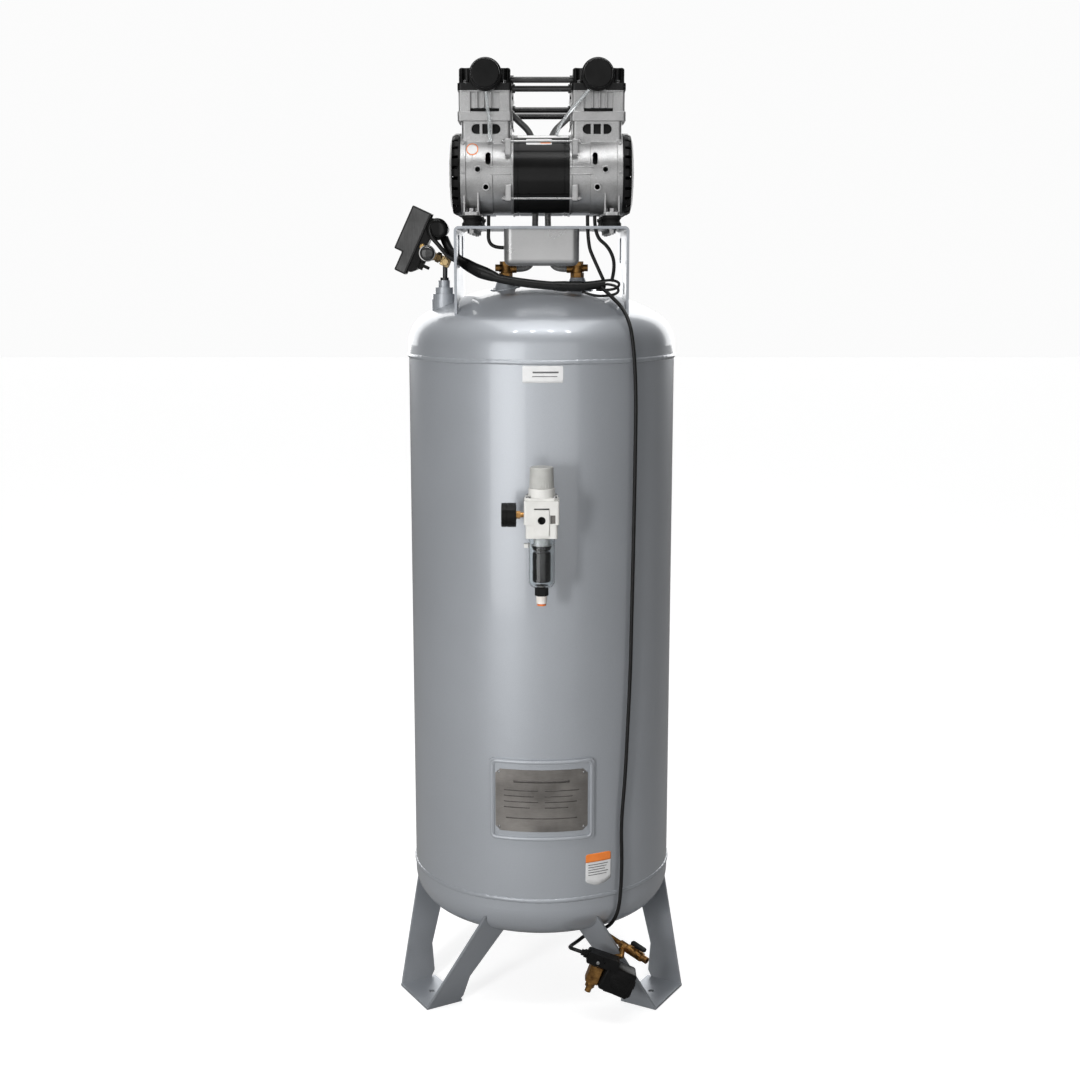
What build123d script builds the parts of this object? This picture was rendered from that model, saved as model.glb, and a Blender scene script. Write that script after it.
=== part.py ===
"""Stationary oil-free air compressor: a vertical 60 gallon receiver on three bent strap legs, with two
twin-cylinder pumps side by side on a platform, a filter regulator, a pressure switch and an automatic drain.

Millimetres. +X is to the right seen from the front, the front faces -Y, +Z is up.
The origin is on the receiver's axis at floor level.
"""
from build123d import *

import math
import os

os.makedirs("parts", exist_ok=True)

# ---------------------------------------------------------------- driving dimensions

# Receiver
TANK_R = 254.0
WALL = 3.5
SEAM_BOTTOM, SEAM_TOP = 249.0, 1257.0
HEAD_FLANGE, HEAD_DEPTH, KNUCKLE_R = 21.0, 112.0, 65.0
BEAD_WIDTH, BEAD_HEIGHT = 8.0, 1.6

# Legs: bent straps whose two wings lean outwards
LEG_AZIMUTHS = {"leg_left": 210.0, "leg_right": 330.0, "leg_rear": 90.0}
LEG_T = 5.0
FOOT_OUTER, FOOT_INNER, FOOT_HALF = 291.0, 215.0, 60.0
FOOT_HOLE_R, FOOT_HOLE_RADIUS = 5.5, 252.0
WING_SLOPE = 0.413
WING_TILT = math.degrees(math.atan(WING_SLOPE))

# Platform
PLAT_HALF_X, PLAT_HALF_Y = 158.5, 150.0
PLAT_TOP, PLAT_T = 1495.0, 5.0
PLAT_BEND_R = 9.0

# Pumps
PUMP_Y = 80.0
SHAFT_Z = 1588.4
STATOR_HALF, STATOR_R = 50.0, 70.0
CYL_X = 100.0
BLOCK_HALF = 47.0
NECK_TOP, FLANGE_TOP, BLOCK_TOP = 1680.5, 1696.5, 1731.0
VALVE_PLATE_T = 2.6
HEAD_STEP, HEAD_TOP = 1746.0, 1773.0
BORE_R = 34.5
STROKE = 12.0
SHAFT_R = 6.0
FILTER_Z = 1759.5
FOOT_X, FOOT_Y = 127.0, 48.0
FOOT_Z = 1514.0

# Filter regulator in front of the receiver
REG_Y = -322.0
REG_PORT_Z = 990.0
REG_HALF = 31.0
BOWL_R = 23.4

# Pressure switch, leaning over the left shoulder
SWITCH_ORIGIN = (-235.0, -40.0, 1465.0)
SWITCH_LEAN = 24.85

# Automatic drain, below the right front of the receiver
DRAIN_NIPPLE = Vector(113, -178, 157.5)
DRAIN_TEE = Vector(156, -217, 144)
VALVE_CENTRE = Vector(101, -250, 104)
VALVE_TILT = 20.0

EPS = 0.01


# ---------------------------------------------------------------- helpers

def block(x0, x1, y0, y1, z0, z1):
    """Box between two corners."""
    centre = Pos((x0 + x1) / 2, (y0 + y1) / 2, (z0 + z1) / 2)
    return centre * Box(abs(x1 - x0), abs(y1 - y0), abs(z1 - z0))


def rod_x(r, x0, x1, y=0.0, z=0.0):
    return Pos((x0 + x1) / 2, y, z) * Rot(0, 90, 0) * Cylinder(r, abs(x1 - x0))


def hex_x(across, x0, x1, y=0.0, z=0.0):
    """Hexagonal prism along X."""
    return Pos(x0, y, z) * Rot(0, 90, 0) * hex_z(across, 0, x1 - x0)


def rod_y(r, y0, y1, x=0.0, z=0.0):
    return Pos(x, (y0 + y1) / 2, z) * Rot(90, 0, 0) * Cylinder(r, abs(y1 - y0))


def rod_z(r, z0, z1, x=0.0, y=0.0):
    return Pos(x, y, (z0 + z1) / 2) * Cylinder(r, abs(z1 - z0))


def hex_z(across, z0, z1, x=0.0, y=0.0):
    """Hexagonal prism along Z, by its width across flats."""
    face = Pos(x, y, z0) * RegularPolygon(across / math.sqrt(3), 6)
    return extrude(face, amount=z1 - z0)


def cone_z(r0, r1, z0, z1, x=0.0, y=0.0):
    return Pos(x, y, (z0 + z1) / 2) * Cone(r0, r1, z1 - z0)


def at(origin, x_dir, z_dir):
    """Location of a local frame."""
    return Plane(origin=origin, x_dir=x_dir, z_dir=z_dir).location


def between(p, q, r):
    """Round bar from p to q."""
    p, q = Vector(p), Vector(q)
    plane = Plane(origin=p, z_dir=q - p)
    return extrude(plane * Circle(r), amount=(q - p).length)


def solids_of(shapes):
    found = []
    for s in shapes:
        found.extend(s.solids())
    return found


def save(node, *shapes):
    """Writes one node: every solid in shapes, kept separate."""
    solids = solids_of(shapes)
    whole = solids[0] if len(solids) == 1 else Compound(children=solids)
    export_step(whole, f"parts/{node}.step")


def mirror_x(shape):
    return mirror(shape, about=Plane.YZ)


# ---------------------------------------------------------------- receiver

HEAD_TOP_Z0 = SEAM_TOP + HEAD_FLANGE
HEAD_BOTTOM_Z0 = SEAM_BOTTOM - HEAD_FLANGE
REACH = TANK_R + 60


CROWN_R = ((TANK_R - KNUCKLE_R) ** 2 + HEAD_DEPTH**2 - KNUCKLE_R**2) / (2 * (HEAD_DEPTH - KNUCKLE_R))
CROWN_ANGLE = math.asin((TANK_R - KNUCKLE_R) / (CROWN_R - KNUCKLE_R))


def head_arcs(inset, base, side):
    """Knuckle and crown arcs of a dished head, from its flange to the axis."""

    def knuckle(angle):
        r = KNUCKLE_R - inset
        return (TANK_R - KNUCKLE_R + r * math.sin(angle), base + side * r * math.cos(angle))

    def crown(angle):
        r = CROWN_R - inset
        return (r * math.sin(angle), base + side * (HEAD_DEPTH - CROWN_R + r * math.cos(angle)))

    quarter = math.pi / 2
    middle = (quarter + CROWN_ANGLE) / 2
    outer = ThreePointArc(knuckle(quarter), knuckle(middle), crown(CROWN_ANGLE))
    inner = ThreePointArc(crown(CROWN_ANGLE), crown(CROWN_ANGLE / 2), crown(0))
    return outer, inner


def head_rise(r):
    """Height of a head's crown above its straight flange, at radius r."""
    return HEAD_DEPTH - CROWN_R + math.sqrt(CROWN_R**2 - r**2)


def envelope(inset=0.0):
    """The receiver's outer form as one solid, offset inwards by inset."""
    top_knuckle, top_crown = head_arcs(inset, HEAD_TOP_Z0, 1)
    low_knuckle, low_crown = head_arcs(inset, HEAD_BOTTOM_Z0, -1)
    side = Line(low_knuckle @ 0, top_knuckle @ 0)
    axis = Line(top_crown @ 1, low_crown @ 1)
    face = make_face([side, top_knuckle, top_crown, axis, low_crown, low_knuckle])
    return revolve(Plane.XZ * face, axis=Axis.Z)


OUTER = envelope()
INNER = envelope(WALL)
SHELL = OUTER - INNER


def band(z0, z1):
    return rod_z(REACH, z0, z1)


def girth_bead(z):
    """Weld bead around the receiver: a low rounded ring outside the shell."""
    half = BEAD_WIDTH / 2
    arc = ThreePointArc((TANK_R, z - half), (TANK_R + BEAD_HEIGHT, z), (TANK_R, z + half))
    face = make_face([arc, Line((TANK_R, z + half), (TANK_R, z - half))])
    return revolve(Plane.XZ * face, axis=Axis.Z)


# Bungs: (x, y) of each fitting in the top head, and its cone
CHECK_X, CHECK_Y = 67.0, -40.0
CHECK_BUNG_TOP = 1402.0
OUTLET_BUNG_R, OUTLET_BUNG_L = 16.0, 12.0
DRAIN_DIR = (DRAIN_TEE - DRAIN_NIPPLE).normalized()
BOSS_X, BOSS_Y, BOSS_TOP = -184.0, -32.0, 1397.0


def check_bung(x):
    """Conical bung for a check valve on the top head."""
    low = HEAD_TOP_Z0 + head_rise(math.hypot(x, CHECK_Y)) - 12
    bung = cone_z(26, 14, low, CHECK_BUNG_TOP, x, CHECK_Y) - OUTER
    return bung - rod_z(8.1, CHECK_BUNG_TOP - 13, CHECK_BUNG_TOP + 1, x, CHECK_Y)


def switch_boss():
    """Stepped boss on the left shoulder of the top head, for the pressure switch."""
    body = rod_z(24, 1310, 1362, BOSS_X, BOSS_Y)
    for r, z0, z1 in ((22, 1361, 1372), (17, 1371, 1384), (11, 1383, BOSS_TOP)):
        body += rod_z(r, z0, z1, BOSS_X, BOSS_Y)
    return body - OUTER


def outlet_bung():
    ring = rod_y(OUTLET_BUNG_R, -TANK_R - OUTLET_BUNG_L, -TANK_R + 20, 0, REG_PORT_Z)
    return ring - OUTER - rod_y(7, -TANK_R - 40, -TANK_R + 60, 0, REG_PORT_Z)


def drain_bung():
    start = DRAIN_NIPPLE - DRAIN_DIR * 26
    return between(start, DRAIN_NIPPLE, 8.5) - OUTER - between(start, DRAIN_NIPPLE + DRAIN_DIR, 3)


def drilled_shell():
    """The receiver's wall with its port holes."""
    wall = SHELL
    wall -= rod_y(7, -TANK_R - 10, -TANK_R + 30, 0, REG_PORT_Z)
    for x in (-CHECK_X, CHECK_X):
        wall -= rod_z(8, HEAD_TOP_Z0 + 60, HEAD_TOP_Z0 + 130, x, CHECK_Y)
    return wall


WALLS = drilled_shell()


def pad_ring(r0, r1, half_width, z0, z1, corner):
    """Plate rolled to the receiver's radius, on its front, with rounded or cut corners."""
    ring = rod_z(r1, z0, z1) - rod_z(r0, z0 - 1, z1 + 1)
    outline = RectangleRounded(2 * half_width, z1 - z0, corner)
    window = extrude(Plane.XZ * Pos(0, (z0 + z1) / 2) * outline, amount=TANK_R + 40)
    return ring & window


PAD_HALF, PAD_Z0, PAD_Z1 = 98.0, 368.0, 526.0
PAD_RAISE, RIM_RAISE, RIM_W = 3.0, 5.5, 9.0
PLATE_T = 0.8
PLATE_MARGIN = 12.0


def nameplate_pad():
    """Welded pad with a raised rim, which carries the nameplate."""
    base = pad_ring(TANK_R, TANK_R + PAD_RAISE, PAD_HALF, PAD_Z0, PAD_Z1, 9)
    rim = pad_ring(TANK_R + PAD_RAISE - 1, TANK_R + RIM_RAISE, PAD_HALF, PAD_Z0, PAD_Z1, 9)
    inside = PAD_HALF - RIM_W
    rim -= pad_ring(TANK_R, TANK_R + 20, inside, PAD_Z0 + RIM_W, PAD_Z1 - RIM_W, 4)
    return base + rim


def nameplate():
    """Thin stainless plate on the pad, with cut corners."""
    r0 = TANK_R + PAD_RAISE
    half = PAD_HALF - PLATE_MARGIN
    z0, z1 = PAD_Z0 + PLATE_MARGIN + 7, PAD_Z1 - PLATE_MARGIN - 7
    ring = rod_z(r0 + PLATE_T, z0, z1) - rod_z(r0, z0 - 1, z1 + 1)
    outline = chamfer(Rectangle(2 * half, z1 - z0).vertices(), 9)
    window = extrude(Plane.XZ * Pos(0, (z0 + z1) / 2) * outline, amount=TANK_R + 40)
    return ring & window


def wing():
    """One wing of a leg, in the leg's own frame (X outwards), standing on +Y's edge of the foot."""
    lean = math.radians(WING_TILT)
    plane = Plane(
        origin=(0, FOOT_HALF, 0), x_dir=(1, 0, 0), z_dir=(0, -math.cos(lean), math.sin(lean))
    )
    rise = 1 / math.cos(lean)
    outline = [
        (FOOT_OUTER, 0),
        (185, 257 * rise),
        (120, 235 * rise),
        (210, 62 * rise),
        (FOOT_INNER, 14 * rise),
        (FOOT_INNER + 12, 0),
    ]
    face = make_face(Polyline(*outline, close=True))
    return extrude(plane * face, amount=LEG_T)


def leg():
    """A bent strap: foot plate with a bolt hole, and two wings trimmed to the bottom head."""
    foot = block(FOOT_INNER, FOOT_OUTER, -FOOT_HALF, FOOT_HALF, 0, LEG_T)
    side = wing()
    whole = foot + side + mirror(side, about=Plane.XZ)
    whole -= rod_z(FOOT_HOLE_R, -1, LEG_T + 1, FOOT_HOLE_RADIUS, 0)
    whole -= block(0, 400, -400, 400, -50, 0)
    return whole - OUTER


# ---------------------------------------------------------------- platform and what is under it

CAP_HALF_X, CAP_Y0, CAP_Y1 = 69.0, -128.0, -68.0
CAP_Z0, CAP_WALL = 1424.0, 1.5
CAP_CORNER_R, CAP_LOWER_R = 15.0, 13.0
PLAT_UNDER = PLAT_TOP - PLAT_T
CABLE_HOLES = [(84, -104), (97, -104), (-97, -100)]
HOSE_HOLE = (26, 16)


def window_x(y0, y1, z0, z1, r):
    """Cutter for a rounded window through a side plate."""
    outline = RectangleRounded(y1 - y0, z1 - z0, r)
    return Plane.YZ * Pos((y0 + y1) / 2, (z0 + z1) / 2) * outline


def platform():
    """Inverted U of bent sheet whose sides are trimmed to the dome."""
    low = HEAD_TOP_Z0 + 30
    outer = block(-PLAT_HALF_X, PLAT_HALF_X, -PLAT_HALF_Y, PLAT_HALF_Y, low, PLAT_TOP)
    outer = fillet(outer.edges().filter_by(Axis.Y).group_by(Axis.Z)[-1], PLAT_BEND_R)
    inner_x = PLAT_HALF_X - PLAT_T
    inner = block(-inner_x, inner_x, -PLAT_HALF_Y - 1, PLAT_HALF_Y + 1, low - 1, PLAT_UNDER)
    inner = fillet(inner.edges().filter_by(Axis.Y).group_by(Axis.Z)[-1], PLAT_BEND_R - PLAT_T)
    sheet = outer - inner
    left = [(-111, -42, 1420, 1480, 10), (39, 99, 1420, 1480, 10)]
    right = [(39, 99, 1428, 1476, 10), (-90, -50, 1371, 1393, 9)]
    for y0, y1, z0, z1, r in left:
        sheet -= extrude(Pos(-170, 0, 0) * window_x(y0, y1, z0, z1, r), amount=30)
    for y0, y1, z0, z1, r in right:
        sheet -= extrude(Pos(140, 0, 0) * window_x(y0, y1, z0, z1, r), amount=30)
    for z in (1430, 1470):
        sheet -= rod_x(3.2, 140, 170, -120, z)
    for x, y in CABLE_HOLES:
        sheet -= rod_z(5.5, PLAT_UNDER - 2, PLAT_TOP + 2, x, y)
    for x, y in isolator_places():
        sheet -= rod_z(4.5, PLAT_UNDER - 2, PLAT_TOP + 2, x, y)
    hose = RectangleRounded(2 * HOSE_HOLE[0], 2 * HOSE_HOLE[1], 12)
    sheet -= extrude(Pos(0, 0, PLAT_UNDER - 2) * hose, amount=PLAT_T + 4)
    return sheet - OUTER


def isolator_places():
    return [
        (sx * FOOT_X, py + sy * FOOT_Y)
        for py in (-PUMP_Y, PUMP_Y)
        for sx in (-1, 1)
        for sy in (-1, 1)
    ]


ISOLATOR_R = 17.5


def isolator(x, y):
    """Rubber mount with a waist, between platform and pump foot."""
    body = rod_z(ISOLATOR_R, PLAT_TOP, FOOT_Z, x, y)
    waist = Pos(x, y, (PLAT_TOP + FOOT_Z) / 2) * Torus(ISOLATOR_R + 2.5, 5)
    return body - waist - rod_z(4.5, PLAT_TOP - 1, FOOT_Z + 1, x, y)


def isolator_bolt(x, y):
    """Bolt through foot, mount and platform, with its head, washers and nut."""
    bolt = rod_z(3.9, PLAT_UNDER - 10, FOOT_Z + 8, x, y)
    bolt += rod_z(9, FOOT_Z + 6, FOOT_Z + 7.5, x, y) + hex_z(12, FOOT_Z + 7.5, FOOT_Z + 13, x, y)
    bolt += rod_z(9, PLAT_UNDER - 1.5, PLAT_UNDER, x, y)
    bolt += hex_z(13, PLAT_UNDER - 8, PLAT_UNDER - 1.5, x, y)
    return bolt


def capacitor_form(inset):
    """Drawn trough with rounded corners and lower edges, under the platform."""
    y0, y1, z0 = CAP_Y0 + inset, CAP_Y1 - inset, CAP_Z0 + inset
    half = CAP_HALF_X - inset
    body = block(-half, half, y0, y1, z0, PLAT_UNDER)
    body = fillet(body.edges().filter_by(Axis.Z), CAP_CORNER_R - inset)
    return fillet(body.edges().group_by(Axis.Z)[0], CAP_LOWER_R - inset)


def capacitor_box():
    shell = capacitor_form(0) - capacitor_form(CAP_WALL)
    lead_z = CAP_Z0 + 33
    return shell - rod_x(4, -CAP_HALF_X - 5, -CAP_HALF_X + 5, (CAP_Y0 + CAP_Y1) / 2, lead_z)


def capacitors():
    """Two run capacitors lying end to end in the box."""
    y, z = (CAP_Y0 + CAP_Y1) / 2, CAP_Z0 + 33
    right = rod_x(22, 3, 58, y, z)
    right = fillet(right.edges(), 3)
    terminals = rod_x(2, 58, 64, y - 7, z) + rod_x(2, 58, 64, y + 7, z)
    one = right + terminals
    return one, mirror_x(one)


# ---------------------------------------------------------------- pumps (the front one's frame: Y=0 at its shaft)

CASE_OUTER_R, CASE_INNER_R, RIM_R = 71.0, 69.0, 73.5
CASE_STEP_X, RIM_X0, RIM_X1 = 88.0, 136.0, 146.0
CAVITY_R = 62.0
WALL_X = 56.0
BEARING_R, BEARING_X0, BEARING_X1 = 16.0, 56.0, 66.0
TIE_Y = 65.0
TIE_HEIGHTS = (SHAFT_Z - 45, SHAFT_Z + 55)
TIE_R = 2.2
NECK_HALF = 44.0


def oval_x(cx, cz, length, height, y0, y1):
    """Stadium cutter along Y, long in X."""
    outline = SlotOverall(length, height)
    return extrude(Plane.XZ * Pos(cx, cz) * outline, amount=-(y1 - y0)).moved(Location((0, y0, 0)))


def slot_z(cx, cz, width, height, y0, y1):
    """Stadium cutter along Y, tall in Z."""
    outline = SlotOverall(height, width, rotation=90)
    return extrude(Plane.XZ * Pos(cx, cz) * outline, amount=-(y1 - y0)).moved(Location((0, y0, 0)))


def crankcase():
    """Right-hand end casting: barrel, bearing wall, cylinder neck, feet and tie-rod lugs."""
    body = rod_x(CASE_INNER_R, STATOR_HALF, CASE_STEP_X, 0, SHAFT_Z)
    body += rod_x(CASE_OUTER_R, CASE_STEP_X, RIM_X0, 0, SHAFT_Z)
    body += rod_x(RIM_R, RIM_X0, RIM_X1, 0, SHAFT_Z)
    neck = block(CYL_X - NECK_HALF, CYL_X + NECK_HALF, -NECK_HALF, NECK_HALF, SHAFT_Z, NECK_TOP)
    body += fillet(neck.edges().filter_by(Axis.Z), 6)
    for side in (-1, 1):
        pad = block(FOOT_X - 14, FOOT_X + 14, side * 32, side * 64, FOOT_Z, FOOT_Z + 6)
        body += fillet(pad.edges().filter_by(Axis.Z), 5)
        for x in (FOOT_X - 12.5, FOOT_X + 12.5):
            rib = block(x - 1.5, x + 1.5, side * 20, side * 62, FOOT_Z + 3, FOOT_Z + 42)
            body += rib
        body += block(FOOT_X - 14, FOOT_X + 14, side * 28, side * 36, FOOT_Z, FOOT_Z + 40)
        for z0, z1 in ((SHAFT_Z + 30, SHAFT_Z + 60), (SHAFT_Z - 50, SHAFT_Z - 20)):
            lug = block(55, 65, side * 36, side * (TIE_Y + 6), z0, z1)
            body += fillet(lug.edges().filter_by(Axis.X), 3)
        body += block(52, 90, side * 60, side * 70.8, SHAFT_Z - 2, SHAFT_Z + 11)
        for x, z in ((114.5, SHAFT_Z + 6), (100, SHAFT_Z - 25)):
            body += rod_y(7, side * 58, side * 71.8, x, z)
    body += block(60, 86, -40, 40, SHAFT_Z + 60, SHAFT_Z + 64)
    body -= rod_x(CAVITY_R, WALL_X, RIM_X1 + 1, 0, SHAFT_Z)
    body += rod_x(22, STATOR_HALF, BEARING_X1, 0, SHAFT_Z)
    body -= rod_x(BEARING_R, BEARING_X0, BEARING_X1 + 1, 0, SHAFT_Z)
    body -= rod_x(SHAFT_R + 3, STATOR_HALF - 1, BEARING_X0 + 1, 0, SHAFT_Z)
    body -= rod_z(BORE_R, SHAFT_Z, NECK_TOP + 1, CYL_X, 0)
    for side in (-1, 1):
        y0, y1 = sorted((side * 30, side * 80))
        window = oval_x(CYL_X, 1666.5, 52, 17.5, y0, y1)
        for x in (CYL_X - 9, CYL_X + 9):
            window -= block(x - 2.6, x + 2.6, y0 - 1, y1 + 1, 1650, 1680)
        body -= window
        body -= slot_z(96, SHAFT_Z + 25, 9, 22, y0, y1)
        body -= rod_y(4.5, y0, y1, 114.5, SHAFT_Z + 6)
        body -= rod_y(4.5, y0, y1, 100, SHAFT_Z - 25)
        body -= rod_z(4.5, FOOT_Z - 1, FOOT_Z + 7, FOOT_X, side * FOOT_Y)
        for z in TIE_HEIGHTS:
            body -= rod_x(TIE_R + 0.2, 50, 70, side * TIE_Y, z)
    return body


BLOCK_X = 102.0


def cylinder_block():
    """Finned cylinder with its flange; the front and back have a ribbed window over a slot."""
    flange = block(BLOCK_X - 49, BLOCK_X + 49, -49, 49, NECK_TOP, FLANGE_TOP)
    flange = fillet(flange.edges().filter_by(Axis.Z), 5)
    body = block(
        BLOCK_X - BLOCK_HALF, BLOCK_X + BLOCK_HALF, -BLOCK_HALF, BLOCK_HALF, FLANGE_TOP, BLOCK_TOP
    )
    body = fillet(body.edges().filter_by(Axis.Z), 4)
    body += flange
    for side in (-1, 1):
        y0, y1 = sorted((side * (BLOCK_HALF - 7), side * (BLOCK_HALF + 3)))
        recess = block(BLOCK_X - 26, BLOCK_X + 26, y0, y1, FLANGE_TOP + 6.5, BLOCK_TOP + 1)
        for x in (-11, 2, 14):
            recess -= block(BLOCK_X + x - 1.5, BLOCK_X + x + 1.5, y0 - 1, y1 + 1, 1690, 1740)
        body -= recess
        y0, y1 = sorted((side * (BLOCK_HALF - 11), side * (BLOCK_HALF + 3)))
        body -= block(BLOCK_X - 26, BLOCK_X + 26, y0, y1, FLANGE_TOP + 0.5, FLANGE_TOP + 6.5)
        x0, x1 = sorted((BLOCK_X + side * (BLOCK_HALF - 8), BLOCK_X + side * (BLOCK_HALF + 3)))
        for y in (-30, -18, -6, 6, 18, 30):
            body -= block(x0, x1, y - 3.5, y + 3.5, FLANGE_TOP + 3, BLOCK_TOP + 1)
    return body - rod_z(BORE_R, NECK_TOP - 1, BLOCK_TOP + 1, CYL_X, 0)


def valve_plate():
    plate = block(BLOCK_X - 48, BLOCK_X + 48, -48, 48, BLOCK_TOP, BLOCK_TOP + VALVE_PLATE_T)
    plate = fillet(plate.edges().filter_by(Axis.Z), 5)
    for x, y in ((-14, -14), (14, 14)):
        plate -= rod_z(6, BLOCK_TOP - 1, BLOCK_TOP + 5, CYL_X + x, y)
    return plate


HEAD_Z0 = BLOCK_TOP + VALVE_PLATE_T


def cylinder_head():
    """Black head: a square base, a smaller crowned top with notches for its four bolts."""
    base = block(BLOCK_X - 49, BLOCK_X + 49, -49, 49, HEAD_Z0, HEAD_STEP)
    base = fillet(base.edges().filter_by(Axis.Z), 7)
    top = block(BLOCK_X - 46.5, BLOCK_X + 46.5, -46, 46, HEAD_STEP - 1, HEAD_TOP)
    top = fillet(top.edges().filter_by(Axis.Z), 9)
    top = fillet(top.edges().group_by(Axis.Z)[-1], 4)
    for x in (-34, 34):
        for y in (-43, 43):
            top -= rod_z(7, HEAD_STEP, HEAD_TOP + 1, BLOCK_X + x, y)
    body = base + top
    for x in (-34, 34):
        for y in (-41, 41):
            body += hex_z(8, HEAD_STEP - 0.5, HEAD_STEP + 5, BLOCK_X + x, y)
    return body - block(BLOCK_X - 36, BLOCK_X + 36, -34, 34, HEAD_Z0 - 1, HEAD_TOP - 6)


def air_filter():
    """Round intake filter on a short neck, facing -Y, as a stack of three discs."""
    body = rod_y(12, -55, -46, CYL_X, FILTER_Z)
    rim = rod_y(29.5, -66, -54, CYL_X, FILTER_Z)
    body += fillet(rim.edges(), 2.5) + rod_y(27, -76, -66, CYL_X, FILTER_Z)
    cap = rod_y(25.7, -86, -75, CYL_X, FILTER_Z)
    return body + fillet(cap.edges().group_by(Axis.Y)[0], 3)


def fan_cover():
    """Dished end cover with slots around its rim."""
    profile = [
        (RIM_X1, 60.0),
        (RIM_X1, RIM_R),
        (156.0, RIM_R - 0.5),
        (162.0, RIM_R - 4),
        (165.5, 58.0),
        (168.0, 30.0),
        (168.5, 0.0),
        (166.0, 0.0),
        (165.5, 30.0),
        (163.0, 57.0),
        (159.5, RIM_R - 7),
        (155.0, RIM_R - 3),
        (RIM_X1 + 2.5, RIM_R - 2.5),
        (RIM_X1 + 2.5, 60.0),
    ]
    face = make_face(Polyline(*profile, close=True))
    cover = Pos(0, 0, SHAFT_Z) * revolve(face, axis=Axis.X)
    for n in range(24):
        cut = Pos(0, 0, SHAFT_Z) * Rot(n * 15 + 7.5, 0, 0) * block(150, 160.5, -3, 3, 62, 80)
        cover -= cut
    for n in range(12):
        cut = Pos(0, 0, SHAFT_Z) * Rot(n * 30, 0, 0) * block(155, 170, -2.2, 2.2, 20, 54)
        cover -= cut
    return cover


def bearing():
    return rod_x(BEARING_R, BEARING_X0, BEARING_X1, 0, SHAFT_Z) - rod_x(
        SHAFT_R + 0.05, BEARING_X0 - 1, BEARING_X1 + 1, 0, SHAFT_Z
    )


def stator():
    """Wound stator in its black shell, open where the rotor turns."""
    body = rod_x(STATOR_R, -STATOR_HALF, STATOR_HALF, 0, SHAFT_Z)
    for x in (-42, 42):
        groove = rod_x(STATOR_R + 1, x - 1, x + 1, 0, SHAFT_Z)
        body -= groove - rod_x(STATOR_R - 1.2, x - 2, x + 2, 0, SHAFT_Z)
    return body - rod_x(42, -STATOR_HALF - 1, STATOR_HALF + 1, 0, SHAFT_Z)


ECC_R, ECC_OFFSET = 20.0, STROKE / 2
ECC_HALF = 7.0
FAN_X0, FAN_X1 = 149.0, 158.0


def rotor():
    """Shaft with the squirrel-cage core, an eccentric for each piston and a fan at each end."""
    body = rod_x(SHAFT_R, -158, 158, 0, SHAFT_Z) + rod_x(41, -38, 38, 0, SHAFT_Z)
    for side in (-1, 1):
        x = side * CYL_X
        body += rod_x(ECC_R, x - ECC_HALF, x + ECC_HALF, 0, SHAFT_Z + ECC_OFFSET)
        x0, x1 = sorted((side * 84, side * 90))
        counterweight = rod_x(30, x0, x1, 0, SHAFT_Z) & block(x0, x1, -30, 30, 1550, SHAFT_Z - 4)
        body += counterweight + rod_x(11, x0, x1, 0, SHAFT_Z)
        x0, x1 = sorted((side * FAN_X0, side * FAN_X1))
        body += rod_x(13, x0, x1, 0, SHAFT_Z)
        body += rod_x(56, x0 if side > 0 else x1 - 1.5, x0 + 1.5 if side > 0 else x1, 0, SHAFT_Z)
        for n in range(9):
            blade = block(x0, x1, -1, 1, 10, 56)
            body += Pos(0, 0, SHAFT_Z) * Rot(n * 40, 0, 0) * blade
    return body


PISTON_RING_IN, PISTON_RING_OUT = 34.0, 39.0


def piston():
    """Wobble piston at the top of its stroke: crown, rod and the ring round the eccentric."""
    ring_z = SHAFT_Z + ECC_OFFSET
    crown = rod_z(BORE_R - 0.5, BLOCK_TOP - 12, BLOCK_TOP - 0.6, CYL_X, 0)
    stem = block(CYL_X - 5, CYL_X + 5, -12, 12, ring_z + PISTON_RING_IN + 2, BLOCK_TOP - 11)
    ring = rod_x(PISTON_RING_OUT, CYL_X - 6, CYL_X + 6, 0, ring_z)
    body = crown + stem + ring
    return body - rod_x(PISTON_RING_IN, CYL_X - 7, CYL_X + 7, 0, ring_z)


def tie_rod(y, z):
    """Clamping rod through the lugs of both castings, with a nut at each end."""
    bar = rod_x(TIE_R, -72, 72, y, z)
    for side in (-1, 1):
        bar += Pos(side * 67.5, y, z) * Rot(0, 90, 0) * hex_z(7, -2.5, 2.5)
    return bar


def tie_rods():
    return [tie_rod(side * TIE_Y, z) for side in (-1, 1) for z in TIE_HEIGHTS]


def cross_tubes(*places):
    """Tubes that join the left and right cylinders, with a collar at each end."""
    tubes = []
    for y, z, x_end in places:
        tube = rod_x(5.5, -x_end, x_end, y, z)
        for side in (-1, 1):
            x0, x1 = sorted((side * x_end, side * (x_end - 5)))
            tube += rod_x(8, x0, x1, y, z)
        tubes.append(tube)
    return tubes


FRONT = Pos(0, -PUMP_Y, 0)
REAR = Pos(0, PUMP_Y, 0) * Rot(0, 0, 180)


def both_ends(shape):
    return [shape, mirror_x(shape)]


def both_pumps(shape):
    """The shape at the left and right of both pumps."""
    ends = both_ends(shape)
    return [FRONT * s for s in ends] + [REAR * s for s in ends]


# ---------------------------------------------------------------- pressure switch

LEAN = math.radians(SWITCH_LEAN)
SWITCH_UP = Vector(math.sin(LEAN), 0, math.cos(LEAN))
SWITCH_ACROSS = Vector(math.cos(LEAN), 0, -math.sin(LEAN))
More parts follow.
